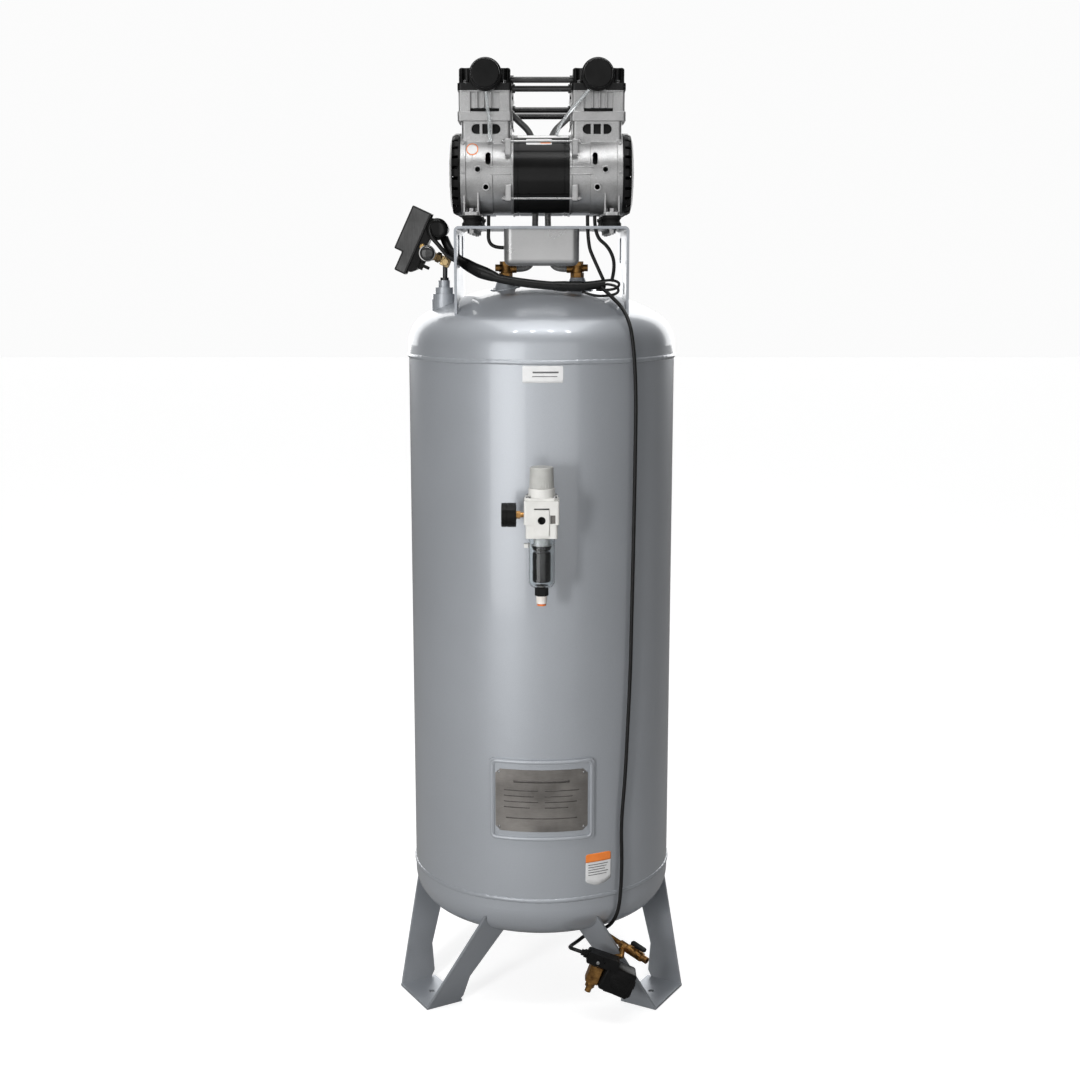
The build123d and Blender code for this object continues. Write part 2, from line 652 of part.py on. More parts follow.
# Local frame: X across towards the receiver, Y to the rear, Z along the leaning switch
SWITCH_FRAME = at(SWITCH_ORIGIN, SWITCH_ACROSS, SWITCH_UP)
COVER_X0, COVER_STEP_X, BASE_X0, BASE_X1 = -32.0, -16.0, 6.0, 22.0
COVER_Z0, COVER_STEP_Z, COVER_Z1 = -60.0, -24.0, 62.0
COVER_HALF, BASE_HALF = 30.0, 26.0
PIPE_Z, PIPE_X1 = -6.0, 62.0
CLAMP_X, CLAMP_Z = 32.0, 44.0


def switch_cover():
    """L-shaped cover: the upper part stands further out than the lower."""
    body = block(COVER_X0, BASE_X0, -COVER_HALF, COVER_HALF, COVER_STEP_Z, COVER_Z1)
    body += block(COVER_STEP_X, BASE_X0, -COVER_HALF, COVER_HALF, COVER_Z0, COVER_STEP_Z + 1)
    body = fillet([e for e in body.edges() if e.center().X < BASE_X0 - 1], 2.5)
    inside = block(COVER_X0 + 2, BASE_X0 + 1, -28, 28, COVER_STEP_Z + 2, COVER_Z1 - 2)
    inside += block(COVER_STEP_X + 2, BASE_X0 + 1, -28, 28, COVER_Z0 + 2, COVER_STEP_Z + 3)
    return SWITCH_FRAME * (body - inside)


def switch_base():
    """Base with the contact block inside the cover, cable clamp, lever housing and pipe flange."""
    body = block(BASE_X0, BASE_X1, -BASE_HALF, BASE_HALF, -52, 56)
    body = chamfer(body.edges().filter_by(Axis.Y).sort_by(Axis.X)[-2:], 9)
    body += block(-12, BASE_X0 + 1, -20, 20, -18, 40)
    body += block(BASE_X1 - 6, CLAMP_X, -14, 14, CLAMP_Z - 12, CLAMP_Z + 6)
    body += rod_y(14, -18, 18, CLAMP_X, CLAMP_Z)
    body += block(BASE_X1 - 1, 31, -22, -4, -40, -22)
    body += rod_x(13, BASE_X1 - 1, 27, 6, PIPE_Z)
    return SWITCH_FRAME * body


def switch_lever():
    """AUTO/OFF lever on the front of its housing."""
    hub = rod_y(4.5, -28, -22.2, 28, -31)
    arm = block(28, 43, -28, -23.5, -34, -28)
    return SWITCH_FRAME * (hub + fillet(arm.edges().filter_by(Axis.Y), 1.5))


def switch_fittings():
    """Brass cross under the switch, with a plug to the front, and the pipe down to the boss."""
    bar = rod_x(7, 27, PIPE_X1, 6, PIPE_Z) + rod_y(9.5, -27, 18, 36.7, PIPE_Z - 1)
    bar += rod_y(15, -34, -BASE_HALF - 0.2, 28, PIPE_Z - 1) + rod_y(8.5, -40, -33, 26, PIPE_Z - 1)
    bar += Pos(PIPE_X1, 6, PIPE_Z) * Sphere(9.5)
    bar += hex_x(17, 44, 52, 6, PIPE_Z)
    placed = SWITCH_FRAME * bar
    elbow = Vector(*(SWITCH_FRAME * Pos(PIPE_X1, 6, PIPE_Z)).position)
    foot = Vector(BOSS_X + 2, BOSS_Y, BOSS_TOP + 2.5)
    placed += between(foot, elbow, 4.5) + rod_z(8, BOSS_TOP, BOSS_TOP + 5, BOSS_X + 1, BOSS_Y)
    placed += rod_y(7, elbow.Y, elbow.Y + 26, elbow.X, elbow.Z)
    collar = Pos(elbow.X, elbow.Y + 14, elbow.Z) * Rot(90, 0, 0) * hex_z(17, -4, 4)
    return placed + collar - rod_y(2.6, elbow.Y + 12, elbow.Y + 30, elbow.X, elbow.Z)


def safety_ring():
    """Pull rod and ring of the safety valve, pointing to the rear."""
    x, y, z = SWITCH_ELBOW
    rod = rod_y(2.3, y + 16, y + 36, x, z) + rod_y(5, y + 26.3, y + 29, x, z)
    ring = Pos(x, y + 44, z) * Rot(0, 90, 0) * Torus(9, 1.2)
    return rod + ring


SWITCH_ELBOW = tuple((SWITCH_FRAME * Pos(PIPE_X1, 6, PIPE_Z)).position)


# ---------------------------------------------------------------- filter regulator

REG_BODY_Z0, REG_BODY_Z1 = 957.5, 1023.5
BONNET_TOP = 1044.0
KNOB_TOP = 1081.0
BOWL_Z0 = 868.0
GAUGE_Z = 996.0
GAUGE_R = 21.3
GAUGE_X0, GAUGE_X1 = -70.5, -44.5
OUTLET_R, OUTLET_L = 6.85, 16.0


def regulator_body():
    """White body: a wide upper block with ports back, front and left, above a narrower skirt."""
    upper = block(-REG_HALF, REG_HALF, REG_Y - 25, REG_Y + 25, 982, REG_BODY_Z1)
    upper = fillet(upper.edges().filter_by(Axis.Z), 4)
    lower = block(-28, 28, REG_Y - 24, REG_Y + 24, REG_BODY_Z0, 983)
    lower = fillet(lower.edges().filter_by(Axis.Z), 5)
    body = upper + lower
    body += block(-13, 13, REG_Y - 27, REG_Y - 20, 962, 1008)
    body += rod_y(13, REG_Y + 22, REG_Y + 29, 0, REG_PORT_Z)
    body -= rod_y(OUTLET_R, REG_Y - 28, REG_Y - 27 + OUTLET_L, 0, REG_PORT_Z)
    body -= rod_y(6.5, REG_Y + 18, REG_Y + 31, 0, REG_PORT_Z)
    body -= block(15, 24, REG_Y - 26, REG_Y - 19, 984, 999)
    body -= block(-13.5, 13.5, REG_Y - 26, REG_Y - 22, 1009, 1011)
    body -= rod_x(4.6, -REG_HALF - 1, -REG_HALF + 10, REG_Y, GAUGE_Z)
    body -= rod_z(19, REG_BODY_Z0 - 1, REG_BODY_Z0 + 10, 0, REG_Y)
    body -= rod_z(8, REG_BODY_Z1 - 12, REG_BODY_Z1 + 1, 0, REG_Y)
    return body


def regulator_bonnet():
    """Bonnet with its square flange and four screws."""
    flange = block(-29, 29, REG_Y - 23, REG_Y + 23, REG_BODY_Z1, REG_BODY_Z1 + 5)
    flange = chamfer(flange.edges().filter_by(Axis.Z), 7)
    body = flange + fillet(
        rod_z(23.2, REG_BODY_Z1 + 4, BONNET_TOP, 0, REG_Y).edges().group_by(Axis.Z)[-1], 1.5
    )
    for x in (-23, 23):
        for y in (-16, 16):
            body += rod_z(3.2, REG_BODY_Z1 + 4, REG_BODY_Z1 + 7.5, x, REG_Y + y)
    return body - rod_z(9, REG_BODY_Z1 - 1, BONNET_TOP + 1, 0, REG_Y)


def regulator_spindle():
    """Adjusting screw with its spring seat, inside the bonnet."""
    body = rod_z(4, REG_BODY_Z1 + 2, BONNET_TOP + 12, 0, REG_Y)
    return body + rod_z(8, REG_BODY_Z1 + 2, REG_BODY_Z1 + 6, 0, REG_Y)


def regulator_knob():
    """Grey knob with a fluted skirt; it lifts to unlock and then turns."""
    base = BONNET_TOP + 0.4
    body = cone_z(21.6, 20.6, base, KNOB_TOP, 0, REG_Y)
    body = fillet(body.edges().group_by(Axis.Z)[-1], 2)
    for n in range(24):
        flute = Pos(0, REG_Y, 0) * Rot(0, 0, n * 15) * rod_z(1.3, base - 1, KNOB_TOP - 7, 22.3, 0)
        body -= flute
    body -= rod_z(18, base - 1, KNOB_TOP - 22, 0, REG_Y)
    return body - rod_z(4.3, base - 1, BONNET_TOP + 15, 0, REG_Y)


def gauge_case():
    """Small black gauge on a brass stem, facing left."""
    body = rod_x(GAUGE_R, GAUGE_X0, GAUGE_X1, REG_Y, GAUGE_Z)
    body = fillet(body.edges(), 1.5)
    body -= rod_x(GAUGE_R - 2, GAUGE_X0 - 1, GAUGE_X0 + 7, REG_Y, GAUGE_Z)
    groove = rod_x(GAUGE_R + 1, -61.5, -60.3, REG_Y, GAUGE_Z)
    body -= groove - rod_x(GAUGE_R - 0.7, -62, -60, REG_Y, GAUGE_Z)
    body += rod_x(4.6, GAUGE_X1 - 1, -REG_HALF + 10, REG_Y, GAUGE_Z)
    hexagon = Pos(GAUGE_X1, REG_Y, GAUGE_Z) * Rot(0, 90, 0) * hex_z(12, 0, 7)
    return body + hexagon - rod_x(1.1, GAUGE_X0 + 6, GAUGE_X0 + 10, REG_Y, GAUGE_Z)


def gauge_needle():
    """Needle on its pin, at zero: pointing down and towards the rear."""
    x = GAUGE_X0 + 3.5
    pin = rod_x(1.0, x - 0.6, x + 5, REG_Y, GAUGE_Z) + rod_x(2.4, x - 0.6, x + 0.8, REG_Y, GAUGE_Z)
    arm = block(x - 0.3, x + 0.3, -0.6, 0.6, -5, 14)
    return pin + Pos(0, REG_Y, GAUGE_Z) * Rot(-135, 0, 0) * arm


def filter_bowl():
    """Clear bowl: a cylinder with a domed end and an opening for the drain."""
    outer = rod_z(BOWL_R, BOWL_Z0, REG_BODY_Z0, 0, REG_Y)
    outer = fillet(outer.edges().group_by(Axis.Z)[0], 9)
    inner = rod_z(BOWL_R - 2.4, BOWL_Z0 + 2.4, REG_BODY_Z0 + 1, 0, REG_Y)
    inner = fillet(inner.edges().group_by(Axis.Z)[0], 6.6)
    return outer - inner - rod_z(5, BOWL_Z0 - 1, BOWL_Z0 + 5, 0, REG_Y)


def filter_element():
    """Deflector, filter cartridge and baffle inside the bowl."""
    body = rod_z(13.8, 942.5, REG_BODY_Z0 + 9, 0, REG_Y)
    body += cone_z(15, 18.5, 934, 942.6, 0, REG_Y)
    body += rod_z(6, 929, 935, 0, REG_Y)
    cartridge = rod_z(16, 877, 930, 0, REG_Y)
    return body + fillet(cartridge.edges(), 2.5)


def bowl_drain():
    """Black nut and white fitting below the bowl."""
    nut = hex_z(21, 852, BOWL_Z0, 0, REG_Y)
    body = nut + rod_z(9.6, 838, 853, 0, REG_Y) + rod_z(4.6, BOWL_Z0 - 1, BOWL_Z0 + 4, 0, REG_Y)
    return body - rod_z(6.2, 837, 846, 0, REG_Y) - rod_z(3, 840, 880, 0, REG_Y)


def drain_collet():
    """Orange release ring of the push-in fitting; it presses in to let the tube go."""
    body = rod_z(8, 834, 836.8, 0, REG_Y) + rod_z(6, 836, 843.5, 0, REG_Y)
    return body - rod_z(4.1, 833, 845, 0, REG_Y)


def bowl_latch():
    """Small latch button at the bowl's top left."""
    return block(-31, -BOWL_R - 0.2, REG_Y - 4, REG_Y + 4, 938, 945)


def outlet_nipple():
    """Pipe nipple from the receiver's bung to the regulator's rear port, with its hexagon."""
    y0 = -TANK_R - OUTLET_BUNG_L
    pipe = rod_y(6.5, REG_Y + 18.2, -TANK_R + 6, 0, REG_PORT_Z)
    hexagon = Pos(0, y0 - 13, REG_PORT_Z) * Rot(90, 0, 0) * hex_z(20, -6, 6)
    return pipe + hexagon - rod_y(4, REG_Y + 15, -TANK_R + 8, 0, REG_PORT_Z)


# ---------------------------------------------------------------- check valves

CHECK_BODY_TOP = 1432.0


def check_valve(side):
    """Brass check valve standing on its bung, with a side inlet towards the middle."""
    x = side * CHECK_X
    body = rod_z(8, CHECK_BUNG_TOP - 12, CHECK_BUNG_TOP + 4, x, CHECK_Y)
    body += hex_z(22, CHECK_BUNG_TOP, CHECK_BUNG_TOP + 9, x, CHECK_Y)
    body += rod_z(10, CHECK_BUNG_TOP + 8, CHECK_BODY_TOP - 4, x, CHECK_Y)
    body += hex_z(20, CHECK_BODY_TOP - 8, CHECK_BODY_TOP, x, CHECK_Y)
    x0, x1 = sorted((x - side * 8, x - side * 20))
    body += rod_x(7.5, x0, x1, CHECK_Y, 1418)
    x0, x1 = sorted((x + side * 8, x + side * 20))
    body += rod_x(6.5, x0, x1, CHECK_Y, 1420)
    for z in (1413, 1417, 1421):
        body += rod_z(13, z - 0.8, z + 0.8, x, CHECK_Y)
    return body


# ---------------------------------------------------------------- automatic drain

# Local frame along the drain run: X away from the receiver, Z up
RUN_UP = (Vector(0, 0, 1) - DRAIN_DIR * DRAIN_DIR.Z).normalized()
RUN_FRAME = at(DRAIN_TEE, DRAIN_DIR, RUN_UP)
VT = math.radians(VALVE_TILT)
COIL_DIR = Vector(math.cos(VT), 0, -math.sin(VT))
VALVE_UP = Vector(math.sin(VT), 0, math.cos(VT))
# Local frame of the solenoid valve: X along the coil, Y to the rear
VALVE_FRAME = at(VALVE_CENTRE, COIL_DIR, VALVE_UP)
VALVE_INLET = (0.0, 21.0, 8.0)
BRANCH = [(152, -243, 134), (118, -230, 122)]


def drain_pipe():
    """Nipple from the receiver's bung, tee, and the bent branch to the solenoid valve."""
    reach = -(DRAIN_TEE - DRAIN_NIPPLE).length
    run = rod_x(5, reach, 14) + hex_x(13, reach + 1, reach + 8) + rod_x(7.5, -6, 12)
    body = RUN_FRAME * run
    inlet = Vector(*(VALVE_FRAME * Pos(*VALVE_INLET)).position)
    points = [DRAIN_TEE, Vector(*BRANCH[0]), Vector(*BRANCH[1]), inlet]
    toward = (points[1] - points[0]).normalized()
    body += between(DRAIN_TEE, DRAIN_TEE + toward * 13, 7)
    for p, q in zip(points, points[1:]):
        body += between(p, q, 5)
    for p in points[1:3]:
        body += Pos(*p) * Sphere(5)
    return body + VALVE_FRAME * rod_y(7, 15, 27, VALVE_INLET[0], VALVE_INLET[2])


BALL_X = 32.0


def ball_valve():
    """Quarter-turn valve at the tee's end, with its spout."""
    body = rod_x(9, 14, 46) + hex_x(17, 14, 21) + hex_x(17, 40, 47)
    body += rod_z(6, 0, 13, BALL_X, 0)
    body += rod_x(6.5, 46, 60) - rod_x(4.5, 50, 61)
    return RUN_FRAME * (body - rod_z(2.7, 8, 14, BALL_X, 0))


def ball_valve_handle():
    """Black lever on the valve's stem."""
    stem = rod_z(2.6, 9, 15, BALL_X, 0) + rod_z(5, 13.3, 17, BALL_X, 0)
    arm = block(BALL_X - 14, BALL_X + 20, -5.5, 5.5, 15, 20)
    arm = fillet(arm.edges().filter_by(Axis.Z), 4)
    return RUN_FRAME * (stem + fillet(arm.edges().group_by(Axis.Z)[-1], 1.5))


def solenoid_valve():
    """Brass valve body with its outlet below, and the armature's flange against the coil."""
    body = chamfer(Box(27, 30, 34).edges().filter_by(Axis.Z), 4)
    body += rod_x(11, 13, 24)
    body += rod_z(10, -22, -16) + hex_z(16, -30, -21)
    body += rod_z(6, -40, -29) - rod_z(4, -41, -31)
    return VALVE_FRAME * body


COIL_X0, COIL_X1 = 24.0, 76.0
COIL_HALF_Y, COIL_HALF_Z = 20.0, 22.0
PLUG_Y0, PLUG_Y1 = -26.0, 1.0
GLAND = (-40.0, -12.5, 36.0)


def solenoid_coil():
    """Moulded coil with a rounded nose and the armature nut."""
    coil = block(COIL_X0, COIL_X1, -COIL_HALF_Y, COIL_HALF_Y, -COIL_HALF_Z, COIL_HALF_Z)
    coil = fillet(coil.edges().filter_by(Axis.Y).sort_by(Axis.X)[-2:], 9)
    coil = fillet(coil.edges().filter_by(Axis.X), 3)
    return VALVE_FRAME * (coil + hex_x(14, COIL_X1 - 0.5, COIL_X1 + 4))


def coil_plug():
    """Square cable plug on top of the coil, with its gland pointing left."""
    plug = block(-28, 34, PLUG_Y0, PLUG_Y1, 24, 46)
    plug = fillet(plug.edges().filter_by(Axis.Y), 4)
    neck = block(COIL_X0 + 1, 34, -18, PLUG_Y1, COIL_HALF_Z, 30)
    _, y, z = GLAND
    gland = rod_x(8, -34, -27, y, z) + rod_x(6, GLAND[0], -33, y, z)
    return VALVE_FRAME * (plug + neck + gland - rod_y(2, PLUG_Y0 - 1, PLUG_Y0 + 3, 6, 35))


# ---------------------------------------------------------------- cords and hoses

CORD_SHARE = 0.45


def corner_radii(points):
    """Arc radius for each inner point: as large as its two runs allow."""
    radii = []
    for a, b, c in zip(points, points[1:], points[2:]):
        run_in, run_out = Vector(b) - Vector(a), Vector(c) - Vector(b)
        turn = math.radians(run_in.get_angle(run_out))
        shorter = min(run_in.length, run_out.length)
        radii.append(CORD_SHARE * shorter / math.tan(turn / 2))
    return radii


def cord(name, points, diameter):
    """Round tube along straight runs joined by tangent arcs."""
    radii = corner_radii(points)
    path = FilletPolyline(*points, radius=radii)
    section = Plane(origin=path @ 0, z_dir=path % 0) * Circle(diameter / 2)
    tube = sweep(section, path=path)
    expected = math.pi * (diameter / 2) ** 2 * path.length
    print(
        f"{name}: length {path.length:.0f}, smallest radius {min(radii):.0f}"
        f" ({min(radii) / diameter:.1f} diameters), volume {tube.volume / expected:.4f} of expected"
    )
    return tube


# Centre-line points of every cord and hose
CABLE_D, LOOM_D, LEAD_D, HOSE_D, BREATHER_D = 7.0, 16.0, 6.5, 12.0, 6.0

DRAIN_CABLE = [
    (110, -129, 1385),
    (131, -148, 1366),
    (152, -180, 1342),
    (164, -203, 1300),
    (170.8, -197, 1200),
    (170.4, -197.2, 1095),
    (169.6, -197, 990),
    (168.4, -198.5, 885),
    (166.8, -199.5, 780),
    (165.4, -201.5, 675),
    (161.5, -204, 575),
    (157.4, -207.6, 475),
    (150.0, -213, 385),
    (152.9, -210.8, 313),
    (151, -214.4, 252),
    (146.7, -214.3, 212),
    (135.9, -206.2, 184.5),
    (122.2, -193.9, 167.7),
    (100, -186, 158),
    (84, -174, 144),
    (69, -186, 137),
    (57, -212, 141),
    (53, -240, 150),
    (59.7, -262.5, 157.3),
    (75.6, -262.5, 151.54),
]
LOOM = [
    (-181.8, -48, 1475),
    (-173, -58, 1453),
    (-160, -78, 1441),
    (-138, -100, 1426),
    (-108, -118, 1410),
    (-74, -125, 1400),
    (-30, -127, 1393),
    (20, -128, 1388),
    (72, -127, 1386),
    (116, -120, 1392),
]
MOTOR_LEADS = [
    [(114, -108, 1398), (98, -106, 1432), (84, -104, 1464), (84, -104, 1515)],
    [(128, -122, 1396), (136, -116, 1424), (124, -108, 1458), (97, -104, 1478), (97, -104, 1515)],
]
CAPACITOR_LEAD = [
    (-97, -100, 1515),
    (-97, -100, 1490),
    (-98, -99, 1468),
    (-86, -98, 1457),
    (-69.5, -98, 1457),
]
BREATHER_HOSES = [
    [(-99, -151, 1729), (-97, -148, 1706), (-94, -136, 1680), (-93, -132, 1644)],
    [(84, -151, 1731.5), (57, -147, 1703), (38, -117, 1681), (27, -62, 1663), (24, -30, 1650)],
]
LEFT_DELIVERY = [
    (-65.5, -32.9, 1712),
    (-65.5, -12, 1712),
    (-46, 0, 1693),
    (-18, 0, 1668),
    (-12, 0, 1620),
    (-11, 1, 1560),
    (-12, 0, 1500),
    (-14, -8, 1462),
    (-17, -31, 1436),
    (-25, -40, 1418),
    (-46.9, -40, 1418),
]
RIGHT_DELIVERY = [
    (65.5, 32.9, 1712),
    (65.5, 12, 1712),
    (46, 0, 1693),
    (18, 0, 1668),
    (12, 0, 1620),
    (11, -1, 1560),
    (12, 0, 1500),
    (14, -8, 1462),
    (17, -31, 1436),
    (25, -40, 1418),
    (46.9, -40, 1418),
]


# ---------------------------------------------------------------- write one file per node

top_half = band(SEAM_TOP, HEAD_TOP_Z0 + HEAD_DEPTH + 1)
bottom_half = band(HEAD_BOTTOM_Z0 - HEAD_DEPTH - 1, SEAM_BOTTOM)
beads = girth_bead(SEAM_TOP) + girth_bead(SEAM_BOTTOM)
save("tank_shell", (WALLS & band(SEAM_BOTTOM, SEAM_TOP)) + beads)
save("top_head", WALLS & top_half)
save("bottom_head", (WALLS & bottom_half) - between(DRAIN_NIPPLE - DRAIN_DIR * 40, DRAIN_NIPPLE, 3))
for name, azimuth in LEG_AZIMUTHS.items():
    save(name, Rot(0, 0, azimuth) * leg())
save("nameplate_pad", nameplate_pad())
save("nameplate", nameplate())
save("tank_bungs", check_bung(-CHECK_X), check_bung(CHECK_X), switch_boss(), outlet_bung(), drain_bung())

save("platform", platform())
save("capacitor_box", capacitor_box())
save("capacitors", *capacitors())
save("isolators", *[isolator(x, y) for x, y in isolator_places()])
save("isolator_bolts", *[isolator_bolt(x, y) for x, y in isolator_places()])

casting = crankcase()
save("front_crankcases", *[FRONT * s for s in both_ends(casting)])
save("rear_crankcases", *[REAR * s for s in both_ends(casting)])
save("cylinders", *both_pumps(cylinder_block()))
save("valve_plates", *both_pumps(valve_plate()))
save("cylinder_heads", *both_pumps(cylinder_head()))
save("air_filters", *both_pumps(air_filter()))
save("fan_covers", *both_pumps(fan_cover()))
save("bearings", *both_pumps(bearing()))
save("tie_rods", *[pump * rod for pump in (FRONT, REAR) for rod in tie_rods()])
front_tubes = cross_tubes((-15, 1755, BLOCK_X - 46.5), (-5, 1740.5, BLOCK_X - 49))
rear_tubes = cross_tubes((10, 1717, BLOCK_X - 47), (18, 1704.5, BLOCK_X - 47))
save("cross_tubes", *[FRONT * t for t in front_tubes], *[REAR * t for t in rear_tubes])
save("front_stator", FRONT * stator())
save("rear_stator", REAR * stator())
save("front_rotor", FRONT * rotor())
save("rear_rotor", REAR * rotor())
right_piston = piston()
save("front_right_piston", FRONT * right_piston)
save("front_left_piston", FRONT * mirror_x(right_piston))
save("rear_left_piston", REAR * right_piston)
save("rear_right_piston", REAR * mirror_x(right_piston))

save("switch_base", switch_base())
save("switch_cover", switch_cover())
save("switch_lever", switch_lever())
save("switch_fittings", switch_fittings())
save("safety_valve_ring", safety_ring())

save("regulator_body", regulator_body(), bowl_latch(), outlet_nipple())
save("regulator_bonnet", regulator_bonnet())
save("regulator_spindle", regulator_spindle())
save("regulator_knob", regulator_knob())
save("gauge_case", gauge_case())
save("gauge_needle", gauge_needle())
save("filter_bowl", filter_bowl())
save("filter_element", filter_element())
save("bowl_drain", bowl_drain())
save("drain_collet", drain_collet())

save("check_valves", check_valve(-1), check_valve(1))
save("drain_pipe", drain_pipe())
save("ball_valve", ball_valve())
save("ball_valve_handle", ball_valve_handle())
save("solenoid_valve", solenoid_valve())
save("solenoid_coil", solenoid_coil())
save("coil_plug", coil_plug())

save("drain_cable", cord("drain_cable", DRAIN_CABLE, CABLE_D))
save("wiring_loom", cord("wiring_loom", LOOM, LOOM_D))
save("motor_leads", *[cord("motor_lead", points, LEAD_D) for points in MOTOR_LEADS])
save("capacitor_lead", cord("capacitor_lead", CAPACITOR_LEAD, LEAD_D))
save("breather_hoses", *[cord("breather_hose", points, BREATHER_D) for points in BREATHER_HOSES])
save(
    "delivery_hoses",
    cord("left_delivery_hose", LEFT_DELIVERY, HOSE_D),
    cord("right_delivery_hose", RIGHT_DELIVERY, HOSE_D),
)
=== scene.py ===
"""Looks of the stationary air compressor: materials, cords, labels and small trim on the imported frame."""
import math

import bmesh
import bpy
from mathutils import Matrix, Vector


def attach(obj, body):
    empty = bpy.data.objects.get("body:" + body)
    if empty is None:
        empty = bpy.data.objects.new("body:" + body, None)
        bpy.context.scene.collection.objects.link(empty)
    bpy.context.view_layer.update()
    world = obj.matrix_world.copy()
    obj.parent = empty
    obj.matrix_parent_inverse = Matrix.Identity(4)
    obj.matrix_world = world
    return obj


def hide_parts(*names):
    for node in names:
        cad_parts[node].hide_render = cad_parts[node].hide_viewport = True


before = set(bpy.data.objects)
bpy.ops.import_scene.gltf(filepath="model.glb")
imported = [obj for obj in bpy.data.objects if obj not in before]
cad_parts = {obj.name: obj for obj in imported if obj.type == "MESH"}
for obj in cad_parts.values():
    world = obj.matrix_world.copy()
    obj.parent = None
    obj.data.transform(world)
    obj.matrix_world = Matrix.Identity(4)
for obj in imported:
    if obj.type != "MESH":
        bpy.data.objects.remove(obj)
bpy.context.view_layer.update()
MM = 0.001
scene = bpy.context.scene

# ---------------------------------------------------------------- camera, floor, light

CAMERA_PLACE = (-0.0029, -3.0, 1.438)
CAMERA_TILT = 10.3  # degrees down
CAMERA_FOCAL = 51.7
CAMERA_SENSOR = 36
CAMERA_REACH = 100

camera = bpy.data.objects.new("camera", bpy.data.cameras.new("camera"))
scene.collection.objects.link(camera)
camera.data.sensor_width = CAMERA_SENSOR
camera.data.lens = CAMERA_FOCAL
camera.location = CAMERA_PLACE
camera.rotation_euler = (math.radians(90 - CAMERA_TILT), 0, 0)
camera.data.clip_end = CAMERA_REACH
scene.camera = camera


# ---------------------------------------------------------------- material kit

def new_material(name):
    m = bpy.data.materials.new(name)
    m.use_nodes = True
    tree = m.node_tree
    tree.nodes.clear()
    out = tree.nodes.new("ShaderNodeOutputMaterial")
    shader = tree.nodes.new("ShaderNodeBsdfPrincipled")
    tree.links.new(shader.outputs[0], out.inputs[0])
    return m, tree, shader


def add(tree, kind, **values):
    node = tree.nodes.new(kind)
    for key, value in values.items():
        if hasattr(node, key):
            setattr(node, key, value)
        else:
            node.inputs[key.replace("_", " ")].default_value = value
    return node


def noise(tree, coords, scale, detail=3.0, rough=0.5, stretch=None):
    vector = coords
    if stretch:
        mapping = add(tree, "ShaderNodeMapping")
        mapping.inputs["Scale"].default_value = stretch
        tree.links.new(coords, mapping.inputs[0])
        vector = mapping.outputs[0]
    n = add(tree, "ShaderNodeTexNoise", Scale=scale, Detail=detail, Roughness=rough)
    tree.links.new(vector, n.inputs["Vector"])
    return n.outputs["Fac"]


def remap(tree, value, low, high, from_low=0.3, from_high=0.7):
    node = add(tree, "ShaderNodeMapRange")
    node.inputs["From Min"].default_value = from_low
    node.inputs["From Max"].default_value = from_high
    node.inputs["To Min"].default_value = low
    node.inputs["To Max"].default_value = high
    tree.links.new(value, node.inputs["Value"])
    return node.outputs[0]


def ramp(tree, value, stops):
    node = add(tree, "ShaderNodeValToRGB")
    elements = node.color_ramp.elements
    while len(elements) < len(stops):
        elements.new(0.5)
    for element, (pos, colour) in zip(elements, stops):
        element.position = pos
        element.color = (*colour, 1)
    tree.links.new(value, node.inputs[0])
    return node.outputs[0]


def bump(tree, layers, edge=0.0):
    """Chain of bump layers, each (height, distance, strength); edge rounds sharp corners."""
    normal = None
    if edge:
        bevel = add(tree, "ShaderNodeBevel", samples=4)
        bevel.inputs["Radius"].default_value = edge
        normal = bevel.outputs[0]
    for height, distance, strength in layers:
        node = add(tree, "ShaderNodeBump")
        node.inputs["Distance"].default_value = distance
        node.inputs["Strength"].default_value = strength
        tree.links.new(height, node.inputs["Height"])
        if normal:
            tree.links.new(normal, node.inputs["Normal"])
        normal = node.outputs[0]
    return normal


def shade(
    tree, shader, dark, light, rough, metal=0.0, blotch=6.0, grain=900.0, grain_bump=0.0, wave=0.0, edge=0.0,
    coat=0.0, coat_rough=0.1, spec=0.5, speckle=0.0, stretch=None,
):
    """Painted, cast, moulded or machined surface with blotches, grain and soft edges."""
    coords = add(tree, "ShaderNodeTexCoord").outputs["Object"]
    large = noise(tree, coords, blotch, 4, 0.55)
    fine = noise(tree, coords, grain, 2, 0.6, stretch)
    colour = ramp(tree, large, [(0.32, dark), (0.68, light)])
    if speckle:
        mix = add(tree, "ShaderNodeMix", data_type="RGBA", blend_type="OVERLAY")
        mix.inputs[0].default_value = speckle
        tree.links.new(colour, mix.inputs[6])
        grey_dots = ramp(tree, fine, [(0.35, (0.2, 0.2, 0.2)), (0.65, (0.8, 0.8, 0.8))])
        tree.links.new(grey_dots, mix.inputs[7])
        colour = mix.outputs[2]
    tree.links.new(colour, shader.inputs["Base Color"])
    low, high = rough
    tree.links.new(remap(tree, large, low, high), shader.inputs["Roughness"])
    shader.inputs["Metallic"].default_value = metal
    shader.inputs["Specular IOR Level"].default_value = spec
    shader.inputs["Coat Weight"].default_value = coat
    shader.inputs["Coat Roughness"].default_value = coat_rough
    layers = []
    if wave:
        layers.append((noise(tree, coords, 9, 2, 0.4), 0.004, wave))
    if grain_bump:
        layers.append((fine, 0.0004, grain_bump))
    normal = bump(tree, layers, edge)
    if normal:
        tree.links.new(normal, shader.inputs["Normal"])


def surface(name, dark, light, rough, **finish):
    m, tree, shader = new_material(name)
    shade(tree, shader, dark, light, rough, **finish)
    return m


